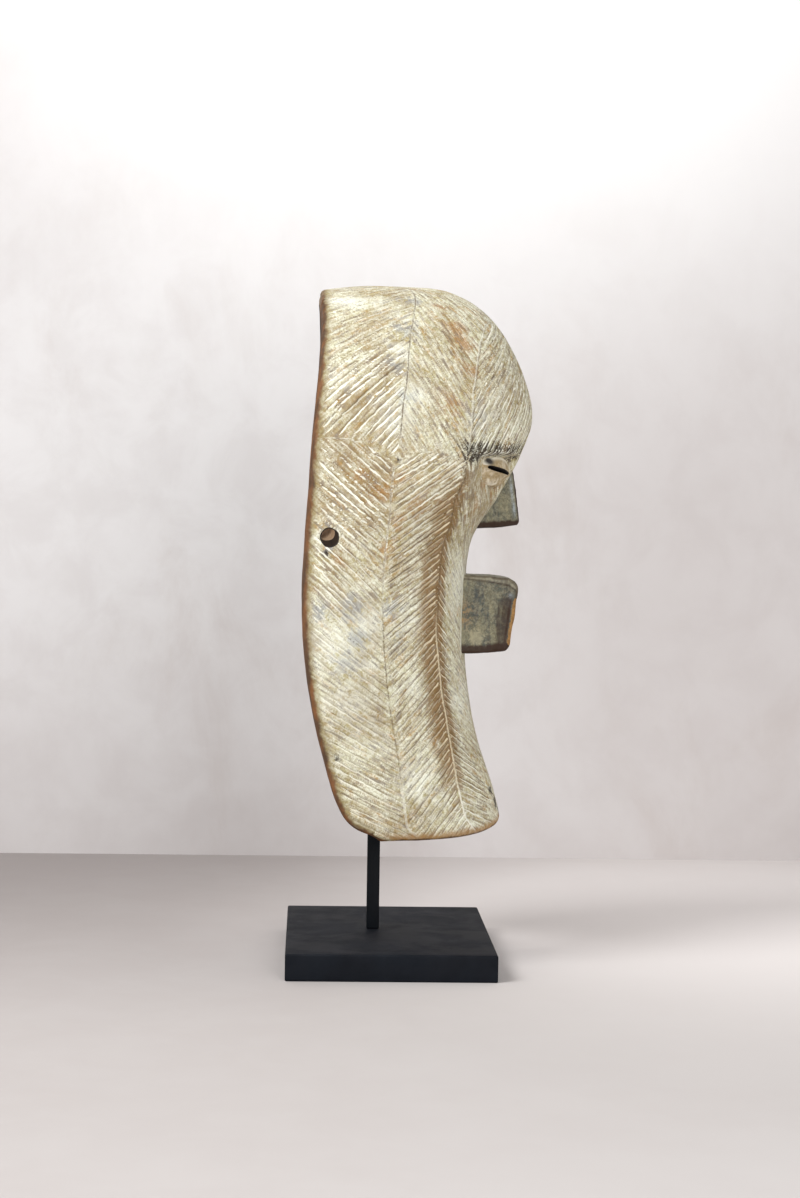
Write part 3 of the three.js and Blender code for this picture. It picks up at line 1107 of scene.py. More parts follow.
def makeSlit(spec, side, material):
    # a lens-shaped cutter, pushed straight through the lid and the wall
    bm, line = bmesh.new(), []
    half, reach, middle = spec["slitHalf"], spec["slitReach"] / 2, spec["slitMiddle"]
    for k in range(spec["slitSides"]):
        angle = 2 * math.pi * k / spec["slitSides"]
        x = math.cos(angle)
        gape = spec["slitOpen"] * (1 - x * x) ** 0.26 * (1 + 0.08 * side * x) * math.copysign(1, math.sin(angle))
        line.append((x * half + side * middle[0], gape + middle[1] + 0.25 * math.sin(2.2 * x)))
    addTube(bm, [[(x, y, z) for x, z in line] for y in (-reach, reach)])
    bmesh.ops.transform(bm, matrix=eyeFrame(spec, side), verts=bm.verts)
    return fromBmesh("slit", bm, material)


def makeSlot(spec, material):
    bm = bmesh.new()
    place = Matrix.Translation(Vector((0, -40, spec["slotHeight"])) * mm)
    bmesh.ops.create_cube(bm, size=1, matrix=place @ Matrix.Diagonal(Vector((*spec["slot"], 1000)) * mm))
    along = [e for e in bm.edges if abs((e.verts[0].co - e.verts[1].co).y) > 0.01]
    bevelled(bm, along, spec["slotRound"], 5)
    return fromBmesh("slot", bm, material)


def makeHole(spec, name, material):
    # bored straight through by hand: not quite round, its lip a little eased
    x, y, z = spec[name]
    side = -1 if x < 0 else 1
    back, up = spec["farSlant"] if side > 0 else (0, 0)
    rings, wallFace, bm = [], abs(x) - 0.4, bmesh.new()
    for out, wider in ((-spec["reach"], 0), (-2.4, 0), (-0.5, 0), (0.1, 1), (3.5, 3)):
        ring = []
        for k in range(spec["sides"]):
            angle = 2 * math.pi * k / spec["sides"]
            radius = spec["radius"] + wider * spec["ease"]
            radius += 0.12 * math.sin(2 * angle + side) + 0.08 * math.sin(5 * angle + 1)
            ring.append((side * (wallFace + out), y + back * (out + 6) + radius * math.cos(angle),
                         z + up * (out + 6) + radius * math.sin(angle)))
        rings.append(ring)
    addTube(bm, rings, outwards=True)
    return fromBmesh("hole", bm, material)


def makeTrim(data, material):
    bm = bmesh.new()
    verts = [bm.verts.new(Vector(p) * mm) for p in data[0]]
    for face in data[1]:
        bm.faces.new([verts[k] for k in face])
    bmesh.ops.triangulate(bm, faces=[f for f in bm.faces if len(f.verts) > 3])
    return fromBmesh("hollowTrim", bm, material)


def combine(made, others, operation):
    for other in others:
        modifier = made.modifiers.new(operation, "BOOLEAN")
        modifier.operation = operation
        modifier.solver = "MANIFOLD"
        modifier.material_mode = "TRANSFER"
        modifier.object = other
    plainMesh(made)
    for other in others:
        bpy.data.objects.remove(other)


maskPaint, slatePaint, lidPaint, cutWoodStainAndShade, boreWood, hollowPatinaAndShade = [
    bpy.data.materials.new(name)
    for name in ("maskPaint", "slatePaint", "lidPaint", "cutWoodStainAndShade", "boreWood", "hollowPatinaAndShade")]
maskPiece.data.materials.clear()
maskPiece.data.materials.append(maskPaint)
maskPiece.data.materials.append(hollowPatinaAndShade)
inWall = np.zeros(len(maskPiece.data.vertices), np.float32)
maskPiece.data.attributes["insideMark"].data.foreach_get("value", inWall)
for face in maskPiece.data.polygons:
    face.material_index = 1 if all(inWall[v] > 0.5 for v in face.vertices) else 0

combine(maskPiece, [makeNose(noseShape, slatePaint), makeMouth(mouthShape, slatePaint),
                    makeLid(eyeShape, -1, lidPaint), makeLid(eyeShape, 1, lidPaint)], "UNION")
combine(maskPiece, [makeTrim(hollowTrim, hollowPatinaAndShade)], "DIFFERENCE")
combine(maskPiece, [makeSlit(eyeShape, -1, cutWoodStainAndShade), makeSlit(eyeShape, 1, cutWoodStainAndShade), makeSlot(mouthShape, cutWoodStainAndShade),
                    makeHole(cordHoles, "near", cutWoodStainAndShade), makeHole(cordHoles, "far", boreWood)], "DIFFERENCE")
print("mask joined:", len(maskPiece.data.polygons), "faces", [m.name for m in maskPiece.data.materials])


# What lies on the wood, as point marks: worn edges, stains and pale patches, and painted shade under the brow and
# along the lower edge, from the wall's own coordinates.

paintMarks = {
    # row, share, radius in mm, strength
    "orange": {
        "near": [(0.466, 0.828, 5, 0.8), (0.438, 0.743, 6, 0.9), (0.458, 0.679, 4, 0.7), (0.386, 0.646, 5, 0.7),
                 (0.352, 0.682, 5, 0.7), (0.586, 0.53, 7, 0.7), (0.694, 0.411, 6, 0.9), (0.74, 0.394, 3, 0.9),
                 (0.672, 0.42, 6, 0.8), (0.634, 0.43, 5, 0.7), (0.34, 0.86, 4, 0.6), (0.41, 0.60, 7, 0.6),
                 (0.448, 0.251, 3.2, 0.9), (0.43, 0.139, 4, 0.6), (0.408, 0.309, 4, 0.7)],
        "far": [(0.44, 0.70, 7, 0.8), (0.37, 0.66, 6, 0.7), (0.60, 0.52, 7, 0.6), (0.70, 0.45, 6, 0.7),
                (0.30, 0.82, 5, 0.5), (0.20, 0.62, 5, 0.5)],
    },
    "brown": {
        "near": [(0.642, 0.761, 6, 0.6), (0.584, 0.756, 7, 0.6), (0.228, 0.773, 4, 0.7), (0.25, 0.95, 6, 0.8),
                 (0.118, 0.673, 8, 0.5), (0.43, 0.40, 7, 0.7), (0.46, 0.40, 6, 0.7), (0.33, 0.89, 5, 0.4),
                 (0.60, 0.90, 5, 0.4), (0.30, 0.62, 7, 0.4), (0.464, 0.42, 3.6, 1.1), (0.428, 0.354, 4, 1.1),
                 (0.396, 0.345, 4, 1.0), (0.358, 0.285, 4, 0.6), (0.634, 0.761, 5, 0.7), (0.662, 0.48, 5, 0.6)],
        "far": [(0.62, 0.76, 7, 0.6), (0.25, 0.93, 6, 0.7), (0.44, 0.41, 8, 0.7), (0.14, 0.66, 7, 0.4)],
    },
    "cream": {
        "near": [(0.602, 0.655, 6, 0.8), (0.664, 0.69, 6, 0.9), (0.796, 0.848, 13, 0.9), (0.268, 0.732, 8, 0.9),
                 (0.222, 0.747, 7, 0.7), (0.106, 0.60, 12, 0.7), (0.624, 0.904, 8, 0.5), (0.188, 0.85, 12, 0.7),
                 (0.562, 0.386, 9, 0.4), (0.084, 0.525, 9, 0.5), (0.30, 0.25, 18, 0.6), (0.18, 0.25, 16, 0.5),
                 (0.90, 0.60, 12, 0.4), (0.72, 0.60, 8, 0.5), (0.245, 0.86, 17, 0.75), (0.15, 0.80, 12, 0.5),
                 (0.57, 0.72, 9, 0.7), (0.27, 0.56, 8, 0.7), (0.20, 0.55, 7, 0.6)],
        "far": [(0.62, 0.66, 8, 0.8), (0.78, 0.80, 12, 0.8), (0.25, 0.75, 10, 0.8), (0.10, 0.60, 12, 0.6),
                (0.30, 0.25, 18, 0.6), (0.18, 0.25, 16, 0.5), (0.55, 0.30, 10, 0.4)],
    },
    "cool": {
        "near": [(0.28, 0.931, 5, 0.9), (0.353, 0.908, 2.6, 0.9), (0.28, 0.796, 6, 0.9), (0.252, 0.793, 5, 0.8),
                 (0.598, 0.694, 5, 0.6),
                 (0.698, 0.63, 6, 0.6), (0.56, 0.44, 9, 0.4), (0.424, 0.848, 7, 0.4), (0.38, 0.90, 9, 0.3),
                 (0.29, 0.812, 5, 0.8), (0.25, 0.774, 5, 0.8), (0.28, 0.642, 5, 0.8), (0.248, 0.614, 5, 0.6),
                 (0.228, 0.839, 7, 0.6), (0.768, 0.502, 6, 0.6), (0.698, 0.654, 5, 0.7), (0.642, 0.707, 5, 0.8)],
        "far": [(0.30, 0.85, 7, 0.7), (0.60, 0.70, 6, 0.6), (0.72, 0.62, 6, 0.5)],
    },
    "warm": {
        "near": [(0.44, 0.72, 23, 0.95), (0.41, 0.90, 14, 0.8), (0.34, 0.62, 17, 0.6), (0.71, 0.74, 13, 0.7),
                 (0.80, 0.55, 14, 0.6), (0.64, 0.48, 12, 0.6), (0.60, 0.86, 12, 0.7), (0.16, 0.62, 11, 0.5),
                 (0.06, 0.90, 9, 0.6), (0.45, 0.40, 9, 0.8), (0.88, 0.40, 13, 0.4), (0.25, 0.55, 14, 0.7),
                 (0.15, 0.45, 10, 0.5), (0.10, 0.20, 12, 0.4)],
        "far": [(0.43, 0.74, 20, 0.9), (0.30, 0.60, 17, 0.6), (0.70, 0.72, 14, 0.7), (0.62, 0.50, 12, 0.6),
                (0.14, 0.66, 12, 0.5), (0.85, 0.45, 14, 0.5), (0.45, 0.40, 9, 0.8)],
    },
    "umber": {
        "near": [(0.588, 0.849, 13, 0.8), (0.53, 0.93, 11, 0.8), (0.474, 0.861, 11, 0.7), (0.424, 0.921, 9, 0.8),
                 (0.406, 0.579, 12, 0.8), (0.336, 0.62, 10, 0.4), (0.30, 0.477, 8, 0.4), (0.392, 0.762, 10, 0.8),
                 (0.526, 0.772, 9, 0.6), (0.34, 0.86, 8, 0.5), (0.44, 0.70, 9, 0.8), (0.45, 0.80, 15, 1.0),
                 (0.50, 0.88, 12, 1.0), (0.45, 0.30, 9, 0.8), (0.43, 0.139, 8, 0.7),
                 (0.40, 0.22, 9, 0.7), (0.36, 0.2, 8, 0.4)],
        "far": [(0.56, 0.86, 13, 0.8), (0.44, 0.90, 11, 0.8), (0.40, 0.60, 14, 0.8), (0.32, 0.55, 11, 0.7)],
    },
    "dark": {
        "near": [(0.132, 0.941, 1.6, 1.0), (0.348, 0.911, 2.2, 0.9), (0.49, 0.703, 1.8, 0.6), (0.08, 0.14, 3.0, 0.9),
                 (0.058, 0.10, 3.2, 1.1), (0.026, 0.055, 3.0, 1.0)],
        "far": [(0.52, 0.70, 2.0, 0.7), (0.16, 0.80, 1.5, 0.8)],
    },
}


def readMark(mesh, name, width=1):
    values = np.zeros(len(mesh.vertices) * width, np.float32)
    mesh.attributes[name].data.foreach_get("vector" if width == 3 else "value", values)
    return values.reshape(-1, 3) if width == 3 else values


def writeMarks(mesh, marks):
    for name, values in marks.items():
        layer = mesh.attributes.get(name) or mesh.attributes.new(name, "FLOAT", "POINT")
        layer.data.foreach_set("value", np.asarray(values, np.float32))


def meshPlaces(mesh):
    return np.array([v.co for v in mesh.vertices]) / mm


def pointsOf(mesh, slots):
    marked = np.zeros(len(mesh.vertices), bool)
    for face in mesh.polygons:
        if face.material_index in slots:
            marked[list(face.vertices)] = True
    return marked


def ridges(mesh):
    # how sharply the surface is folded outwards (plus) or inwards (minus) at each point
    bm = bmesh.new()
    bm.from_mesh(mesh)
    fold = np.zeros(len(bm.verts))
    for edge in bm.edges:
        if len(edge.link_faces) == 2:
            turn = edge.calc_face_angle_signed(0.0)
            for v in edge.verts:
                if abs(turn) > abs(fold[v.index]):
                    fold[v.index] = turn
    links = np.array([(e.verts[0].index, e.verts[1].index) for e in bm.edges])
    bm.free()
    count = np.bincount(links.ravel(), minlength=len(fold))
    for _ in range(3):
        total = np.bincount(links[:, 0], fold[links[:, 1]], len(fold))
        total = total + np.bincount(links[:, 1], fold[links[:, 0]], len(fold))
        fold = 0.5 * fold + 0.5 * total / np.maximum(count, 1)
    return fold


# the drawn veins: for each line its upper and lower vein, and how dark and how pale it is at which rows
drawnVeins = {
    "rear": ("crown", "side",
             ((0.10, 0), (0.12, 0.55), (0.26, 0.55), (0.28, 0.4), (0.47, 0.4), (0.49, 0), (0.53, 0), (0.55, 0.8),
              (0.88, 0.7), (0.91, 0)),
             ((0.10, 0.4), (0.12, 0), (0.27, 0), (0.29, 0.2), (0.47, 0.2), (0.49, 0), (0.52, 0), (0.55, 0.35),
              (0.88, 0.35), (0.91, 0))),
    "front": ("temple", "cheek",
              ((0.02, 0.3), (0.25, 0.6), (0.46, 0.7), (0.48, 0), (0.5, 0), (0.52, 0.6), (0.70, 0.6), (0.73, 0)),
              ((0.02, 1), (0.24, 1), (0.28, 0), (0.5, 0), (0.52, 0.45), (0.70, 0.45), (0.73, 0))),
}
carriedNames = ("cut", "chalkAndHighlight", "grimeAndShade", "chalkOn", "grimeOn", "edgeAway", "insideMark", "row", "share")


def finishMarks(made):
    mesh = made.data
    names = [m.name for m in mesh.materials]
    places = meshPlaces(mesh)
    marks = {name: readMark(mesh, name) for name in carriedNames}
    known = (marks["row"] != 0) | (marks["edgeAway"] != 0)
    onWall = pointsOf(mesh, (names.index("maskPaint"), names.index("hollowPatinaAndShade")))
    # points that the joining made take the marks of the nearest one on the wall
    wall = np.flatnonzero(known)
    tree = nearTree(places[wall])
    ways = readMark(mesh, "grainWay", 3)
    for k in np.flatnonzero(onWall & ~known):
        source = wall[tree.find(places[k])[1]]
        for values in (*marks.values(), ways):
            values[k] = values[source]
        marks["chalkAndHighlight"][k] = 0
    ways[~onWall] = (0, 0, 1)
    mesh.attributes["grainWay"].data.foreach_set("vector", ways.ravel())
    marks["edgeAway"][~onWall] = 99
    row, share, away, inner = [marks[name] for name in ("row", "share", "edgeAway", "insideMark")]
    s, t = flatPoint(row, share)
    for kind, sides in paintMarks.items():
        total = np.zeros(len(places))
        for sign, sideName in ((-1, "near"), (1, "far")):
            for spotRow, spotShare, size, strength in sides[sideName]:
                a, b = flatPoint(spotRow, spotShare)
                total = np.maximum(total, strength * np.exp(-((s - sign * a) ** 2 + (t - b) ** 2) / size ** 2))
        marks[kind] = total * (onWall & (inner <= 0.5))
    # distances from the edge: one for the rim, one for the lower edge, which wear to different colours; the lower
    # edge's thinnest strip is also painted shade of its rounded underside
    foot = np.where(t < away + 3.0, 1.0, 0.0) * (1 - smoothStep(np.abs(share), 0.90, 0.985))
    hidden = 99.0 * ((inner > 0.8) | ~onWall)
    marks["rimAway"] = away + 9 * foot + hidden
    marks["footAway"] = away + 9 * (1 - foot) + hidden
    marks["crownRim"] = smoothStep(row, 0.80, 0.93) * onWall
    # brown handling along the cheek vein, stronger behind it
    outside = onWall * (inner < 0.5)
    gap = np.abs(s) - veinShare("cheek", row) * halfAt(row)
    along = window(row, 0.04, 0.16, 0.40, 0.50)
    marks["veinWear"] = bell(gap, 0, np.where(gap > 0, 10.5, 5.5), 2.8) * along * (row < 0.5) * outside
    for line, (upper, lower, darkAt, paleAt) in drawnVeins.items():
        drawn = np.where(row > 0.5, veinShare(upper, row), veinShare(lower, row))
        marks[line + "Line"] = np.clip(np.abs(s) - drawn * halfAt(row), -9, 9)
        marks[line + "Dark"] = np.interp(row, *zip(*darkAt)) * outside
        marks[line + "Pale"] = np.interp(row, *zip(*paleAt)) * outside
    # painted shade under the brow's edge and in the sockets' corners, which also stands for the black paint along
    # the brow
    x, y, z = places.T
    wide = np.abs(x)
    brow = bell(z, 250.3, 4.5, 2.8) * window(wide, 6, 12, 49, 56) * (y < -18)
    brow *= 0.66 + 0.34 * smoothStep(wide, 24, 42)
    corner = 1.2 * bell(wide, 47, 4.5) * bell(z, 247, 3.6) * (y < -16)
    marks["browShadeAndBlack"] = np.maximum(brow, corner) * (inner < 0.5)
    marks["seamChalk"] = bell(wide, 23.2, 1.3) * window(z, 149, 153, 188, 192) * (y < -25) * outside
    marks["ridge"] = ridges(mesh)
    writeMarks(mesh, marks)


finishMarks(maskPiece)
print("marks laid on")


# stand: a square bar and a flat plate, with eased edges

standShape = {
    "postEase": 0.45,
    "baseEase": 0.9,
}


def easedBox(name, nodeName, ease, segments, material, cuts):
    low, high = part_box(nodeName)
    bm = bmesh.new()
    middle, size = (low + high) / 2, high - low
    bmesh.ops.create_cube(bm, size=1, matrix=Matrix.Translation(middle) @ Matrix.Diagonal(Vector((*size, 1))))
    bevelled(bm, bm.edges[:], ease, segments)
    made = fromBmesh(name, bm, material)
    # a few loops across the bar and the plate
    bm = bmesh.new()
    bm.from_mesh(made.data)
    for axis, count in enumerate(cuts):
        for k in range(1, count):
            place = Vector(low)
            place[axis] = low[axis] + size[axis] * k / count
            normal = Vector((0, 0, 0))
            normal[axis] = 1
            bmesh.ops.bisect_plane(bm, geom=bm.verts[:] + bm.edges[:] + bm.faces[:], plane_co=place, plane_no=normal)
    bm.to_mesh(made.data)
    bm.free()
    return made


blackMetal = bpy.data.materials.new("blackMetal")
blackWood = bpy.data.materials.new("blackWood")
postPiece = easedBox("standPost", "stand_post", standShape["postEase"], 3, blackMetal, (1, 1, 24))
basePiece = easedBox("standBase", "stand_base", standShape["baseEase"], 4, blackWood, (24, 17, 3))
for piece in (maskPiece, postPiece, basePiece):
    piece.data.set_sharp_from_angle(angle=math.radians(32))
print("stand made")


# finishes: shared effects as shader groups, then one function for each finish

def linear(text):
    values = [int(text[k:k + 2], 16) / 255 for k in (0, 2, 4)]
    return tuple(v / 12.92 if v <= 0.04045 else ((v + 0.055) / 1.055) ** 2.4 for v in values) + (1,)


def noiseIn(place, scale, detail=3.0, rough=0.55, warp=0.0):
    return addNode(place.tree, "ShaderNodeTexNoise", {
        "Vector": place, "Scale": scale, "Detail": detail, "Roughness": rough, "Distortion": warp})


def mixed(share, first, second):
    return addNode(share.tree, "ShaderNodeMix", {0: share, 6: first, 7: second}, output=2, data_type="RGBA")


def stretched(place, stretch, shift=(0, 0, 0)):
    return addNode(place.tree, "ShaderNodeMapping", {"Vector": place, "Location": shift, "Scale": stretch})


def shaderGroup(name, output, **inputs):
    return newGroup(name, "ShaderNodeTree", {"Vector": "Vector", **inputs}, {output: "Float"})


def makeMottle():
    # cloudy patches, as a mask from 0 to 1
    tree, given, made = shaderGroup("mottle", "Mask", Scale=60.0, Detail=4.0, Low=0.4, High=0.6, Shift=0.0)
    shift = addNode(tree, "ShaderNodeCombineXYZ", {k: given["Shift"] for k in range(3)})
    clouds = noiseIn(vectorNode("ADD", given["Vector"], shift), given["Scale"], given["Detail"], 0.62, 0.4)
    put(tree, made["Mask"], clouds.span(given["Low"], given["High"]))
    return tree


def makeSpecks():
    # small separate dots with ragged edges
    tree, given, made = shaderGroup("specks", "Mask", Scale=300.0, Size=0.2, Share=0.5)
    away = addNode(tree, "ShaderNodeTexVoronoi", {"Vector": given["Vector"], "Scale": given["Scale"]}, "Distance")
    ragged = noiseIn(given["Vector"], given["Scale"] * 3.0, 2.0)
    dot = (away + ragged * 0.2).span(given["Size"], given["Size"] + 0.12, 1.0, 0.0)
    cellColour = nodeValue(tree, away.socket.node.outputs["Color"])
    chosen = calc("LESS_THAN", addNode(tree, "ShaderNodeSeparateColor", {0: cellColour}), given["Share"])
    put(tree, made["Mask"], dot * chosen)
    return tree


def makeDust():
    # settles on what faces up, thicker in patches
    tree, given, made = shaderGroup("dustFilm", "Mask", Scale=90.0, Amount=0.5)
    normal = addNode(tree, "ShaderNodeNewGeometry", output="Normal")
    upward = addNode(tree, "ShaderNodeSeparateXYZ", {0: normal}, output=2).span(-0.2, 0.9, 0.25, 1.0)
    patches = noiseIn(given["Vector"], given["Scale"], 5.0, 0.65).span(0.35, 0.7)
    put(tree, made["Mask"], upward * patches * given["Amount"])
    return tree


def makeEdgeWear():
    # bare wood where the ridge mark is high, broken up by noise
    tree, given, made = shaderGroup("edgeWear", "Mask", Ridge=0.0, Scale=220.0, Low=0.05, High=0.2)
    rough = noiseIn(given["Vector"], given["Scale"], 4.0, 0.6)
    put(tree, made["Mask"], (given["Ridge"] + (rough - 0.5) * 0.16).span(given["Low"], given["High"]))
    return tree


def makeRelief():
    # dry paint on wood: fine grain along the height, grit and small pits
    tree, given, made = shaderGroup("fineRelief", "Height", Grain=0.4, Grit=0.6)
    grain = noiseIn(stretched(given["Vector"], (1, 1, 0.16)), 900.0, 3.0, 0.6)
    grit = noiseIn(given["Vector"], 1900.0, 3.0, 0.7)
    pits = noiseIn(given["Vector"], 330.0, 3.0, 0.55)
    put(tree, made["Height"], grain * given["Grain"] + grit * given["Grit"] + pits)
    return tree


def makeStrokeGrain():
    # noise smeared along a direction: the knife's fine streaks, as a mask from 0 to 1
    tree, given, made = shaderGroup("strokeGrain", "Mask", Way="Vector", Scale=1200.0, Reach=0.0028,
                                    Low=0.42, High=0.58)
    total = None
    steps = (-1.0, -0.62, -0.3, 0.0, 0.3, 0.62, 1.0)
    for share in steps:
        moved = vectorNode("ADD", given["Vector"], vectorNode("SCALE", given["Way"], given["Reach"] * share))
        field = noiseIn(moved, given["Scale"], 1.0, 0.6)
        total = total + field if total else field
    put(tree, made["Mask"], calc("DIVIDE", total, float(len(steps))).span(given["Low"], given["High"]))
    return tree


mottle, specks, dustFilm, edgeWear, fineRelief = makeMottle(), makeSpecks(), makeDust(), makeEdgeWear(), makeRelief()
strokeGrain = makeStrokeGrain()


class paintJob:
    # one material's nodes, its colours by name and its colour as laid so far
    def __init__(self, material, colours):
        material.use_nodes = True
        self.tree = material.node_tree
        self.tree.nodes.clear()
        self.shader = self.tree.nodes.new("ShaderNodeBsdfPrincipled")
        self.result = self.tree.nodes.new("ShaderNodeOutputMaterial").inputs[0]
        self.tree.links.new(self.shader.outputs[0], self.result)
        self.place = addNode(self.tree, "ShaderNodeTexCoord", output="Object")
        self.tints = {name: linear(text) for name, text in colours.items()}
        self.colour = None

    def mark(self, name, output="Fac"):
        return addNode(self.tree, "ShaderNodeAttribute", output=output, attribute_name=name)

    def worn(self, name, noise, low, high):
        # a mark whose edge is broken up by noise
        return (self.mark(name) + noise).span(low, high)

    def use(self, group, **values):
        return addNode(self.tree, "ShaderNodeGroup", {"Vector": self.place, **values}, node_tree=group)

    def clouds(self, scale, low, high, shift=0.0, detail=4.0, **more):
        return self.use(mottle, Scale=scale, Detail=detail, Low=low, High=high, Shift=shift, **more)

    def blend(self, share, first, second):
        return mixed(share, *(self.tints[tint] if isinstance(tint, str) else tint for tint in (first, second)))

    def coat(self, share, tint, under=None):
        # lays a colour over what is there, or over a first colour
        self.colour = self.blend(share, under or self.colour, tint)

    def finish(self, rough, height=None, strength=0.5, reach=0.2, gloss=0.5):
        given = self.shader.inputs
        put(self.tree, given["Base Color"], self.colour)
        put(self.tree, given["Roughness"], rough)
        given["Specular IOR Level"].default_value = gloss
        if height:
            relief = {"Strength": strength, "Distance": reach * mm, "Height": height}
            put(self.tree, given["Normal"], addNode(self.tree, "ShaderNodeBump", relief))


maskColours = {
    "tan": "c6c096",
    "pale": "ebecd2",
    "warmTan": "ba9c63",
    "umber": "876838",
    "deep": "8e7341",
    "orange": "ac7735",
    "ochre": "c09249",
    "brown": "7b5f3d",
    "vein": "6e4b2b",
    "veinPale": "8a673d",
    "cream": "f9fbeb",
    "cool": "a3a8ab",
    # the white of the cuts, also used as the painted highlight on their lit lips
    "chalkAndHighlight": "fdfdef",
    "chalkVein": "e6d8b8",
    # dirt, also used as the painted shade on the cuts' upper lips
    "grimeAndShade": "66512f",
    "rim": "80502b",
    "rimDark": "4a3020",
    "rimGrey": "8a7c66",
    "olive": "8a7847",
    "foot": "9f7641",
    "dark": "2e241c",
}
# share of each kind of patch laid under and over the wood's own texture
patchShares = {"orange": (0.66, 0.4), "brown": (0.62, 0.35), "cream": (0.85, 0.35), "cool": (0.6, 0.5)}


def paintMask(material, colours):
    job = paintJob(material, colours)
    way = job.mark("grainWay", "Vector")
    middle, fine = job.clouds(150.0, 0.42, 0.62, 0.31), job.clouds(480.0, 0.4, 0.6, 0.7)
    grit, patch = job.clouds(1000.0, 0.46, 0.6, 0.2, 2.0), job.clouds(260.0, 0.34, 0.6, 1.3)
    streak = job.use(strokeGrain, Way=way, Scale=820.0, Reach=0.0028, Low=0.47, High=0.56)
    pale = job.use(strokeGrain, Way=way, Scale=640.0, Reach=0.0036, Low=0.5, High=0.58)
    warm = job.use(strokeGrain, Way=way, Scale=330.0, Reach=0.004, Low=0.49, High=0.6)
    broken = patch * 0.6 + streak * 0.4 - 0.5
    warmth = job.mark("warm")
    job.coat(job.clouds(55.0, 0.38, 0.62), "pale", under="tan")
    job.coat(middle * 0.38, "deep")
    job.coat(warm * (middle.span(0.0, 1.0, 0.3, 0.75) + warmth * 0.3), "ochre")
    job.coat(warmth * broken.span(-0.5, 0.5, 0.3, 0.6), "warmTan")
    job.coat(fine * 0.58, "cream")
    patches = {kind: job.worn(kind, broken * 0.95, 0.1, 1.05) for kind in patchShares}
    for kind, (under, _) in patchShares.items():
        job.coat(patches[kind] * under, kind)
    umber = job.mark("umber") * broken.span(-0.5, 0.5, 0.5, 0.95)
    job.coat(calc("MAXIMUM", job.clouds(30.0, 0.47, 0.66, 2.7, 6.0) * 0.35, umber), "umber")
    vein = job.worn("veinWear", broken * 0.6, 0.05, 0.8)
    job.coat(vein * 0.92, job.blend(patch, "vein", "veinPale"))
    rough = 1.0 - job.mark("cream") * 0.6
    job.coat(streak * rough * 0.56, "deep")
    job.coat(pale * (1.0 - vein * 0.75) * 0.5, "cream")
    job.coat(grit * rough * 0.36, "olive")
    for kind, (_, over) in patchShares.items():
        job.coat(patches[kind] * over, kind)
    job.coat(job.worn("dark", broken * 0.7, 0.15, 1.0), "dark")
    # painted shade under the brow and in the socket corners, laid in the dark colour
    job.coat(job.worn("browShadeAndBlack", (streak - 0.5) * 0.45 + broken * 0.4, 0.2, 0.95) * 0.93, "dark")
    # dark on the upper lips of the cuts, dirt together with painted shade, then white on their lower lips and in the
    # cuts, left pigment together with a painted highlight
    ragged = noiseIn(job.place, 900.0, 3.0, 0.7) - 0.5
    chalkOn = job.mark("chalkOn")
    job.coat(job.worn("grimeAndShade", ragged * 0.6, 0.6, 1.05) * job.mark("grimeOn").span(0.0, 1.0, 0.0, 0.8), "grimeAndShade")
    narrow = 0.93 - chalkOn * 0.24
    white = job.worn("chalkAndHighlight", ragged * 0.4, narrow, narrow + 0.2) * chalkOn.span(0.0, 1.0, 0.0, 0.95)
    chalkAndHighlight = job.blend(vein, "chalkAndHighlight", "chalkVein")
    job.coat(white, chalkAndHighlight)
    job.coat(job.mark("seamChalk") * 0.7, "cream")
    # the drawn veins, a pale line with a thin dark one in it or just ahead of it
    wobble = (noiseIn(job.place, 520.0, 3.0, 0.65) - 0.5) * 0.9
    for line, ahead in (("rear", 0.0), ("front", 0.55)):
        gap = job.mark(line + "Line") + wobble
        beside = calc("ABSOLUTE", gap).span(0.4, 0.75, 1.0, 0.0)
        core = calc("ABSOLUTE", gap + ahead).span(0.15, 0.62, 1.0, 0.0)
        job.coat(beside * job.mark(line + "Pale") * 0.85, chalkAndHighlight)
        job.coat(core * job.mark(line + "Dark") * broken.span(-0.5, 0.3, 0.3, 0.95), "grimeAndShade")
    # worn borders, in millimetres from the edge; the thin dark strip right at the lower edge is painted shade of its
    # rounded underside
    shake = (noiseIn(job.place, 240.0, 3.0, 0.6) - 0.5) * 3.4
    rimAway, footAway = job.mark("rimAway") + shake, job.mark("footAway") + shake
    alongRim = job.clouds(200.0, 0.32, 0.62, 3.3, 6.0, Vector=stretched(job.place, (1, 1, 0.2)))
    rimColour = job.blend(job.mark("crownRim") * 0.8, job.blend(alongRim, "rim", "rimDark"), "rimGrey")
    for away, near, far, share, tint in (
            (rimAway, 2.2, 6.0, 0.72, "olive"), (rimAway, 1.4, 3.4, 0.93, rimColour),
            (footAway, 1.6, 5.2, 0.8, "foot"), (footAway, 0.2, 1.5, 0.8, "rimDark")):
        job.coat(away.span(near, far, 1.0, 0.0) * share, tint)
    job.coat(job.use(specks, Scale=230.0, Size=0.1, Share=0.22) * 0.65, "grimeAndShade")
    height = job.use(fineRelief, Grain=0.2, Grit=0.45) + streak * -0.6 + pale * 0.4
    job.finish(middle.span(0.0, 1.0, 0.78, 0.62), height, 0.65, 0.24, 0.35)


slateColours = {
    "body": "565a4f",
    "dusty": "8b8870",
    "blue": "36444f",
    "brown": "4a3b29",
    # the thin dark edge lines, and the painted shade at the foot of the nose and the mouth box
    "edge": "352116",
    "bare": "b3864c",
    "dust": "b0a98c",
    "top": "a19b86",
    # the colour of the painted highlight
    "glow": "b4c2cc",
}


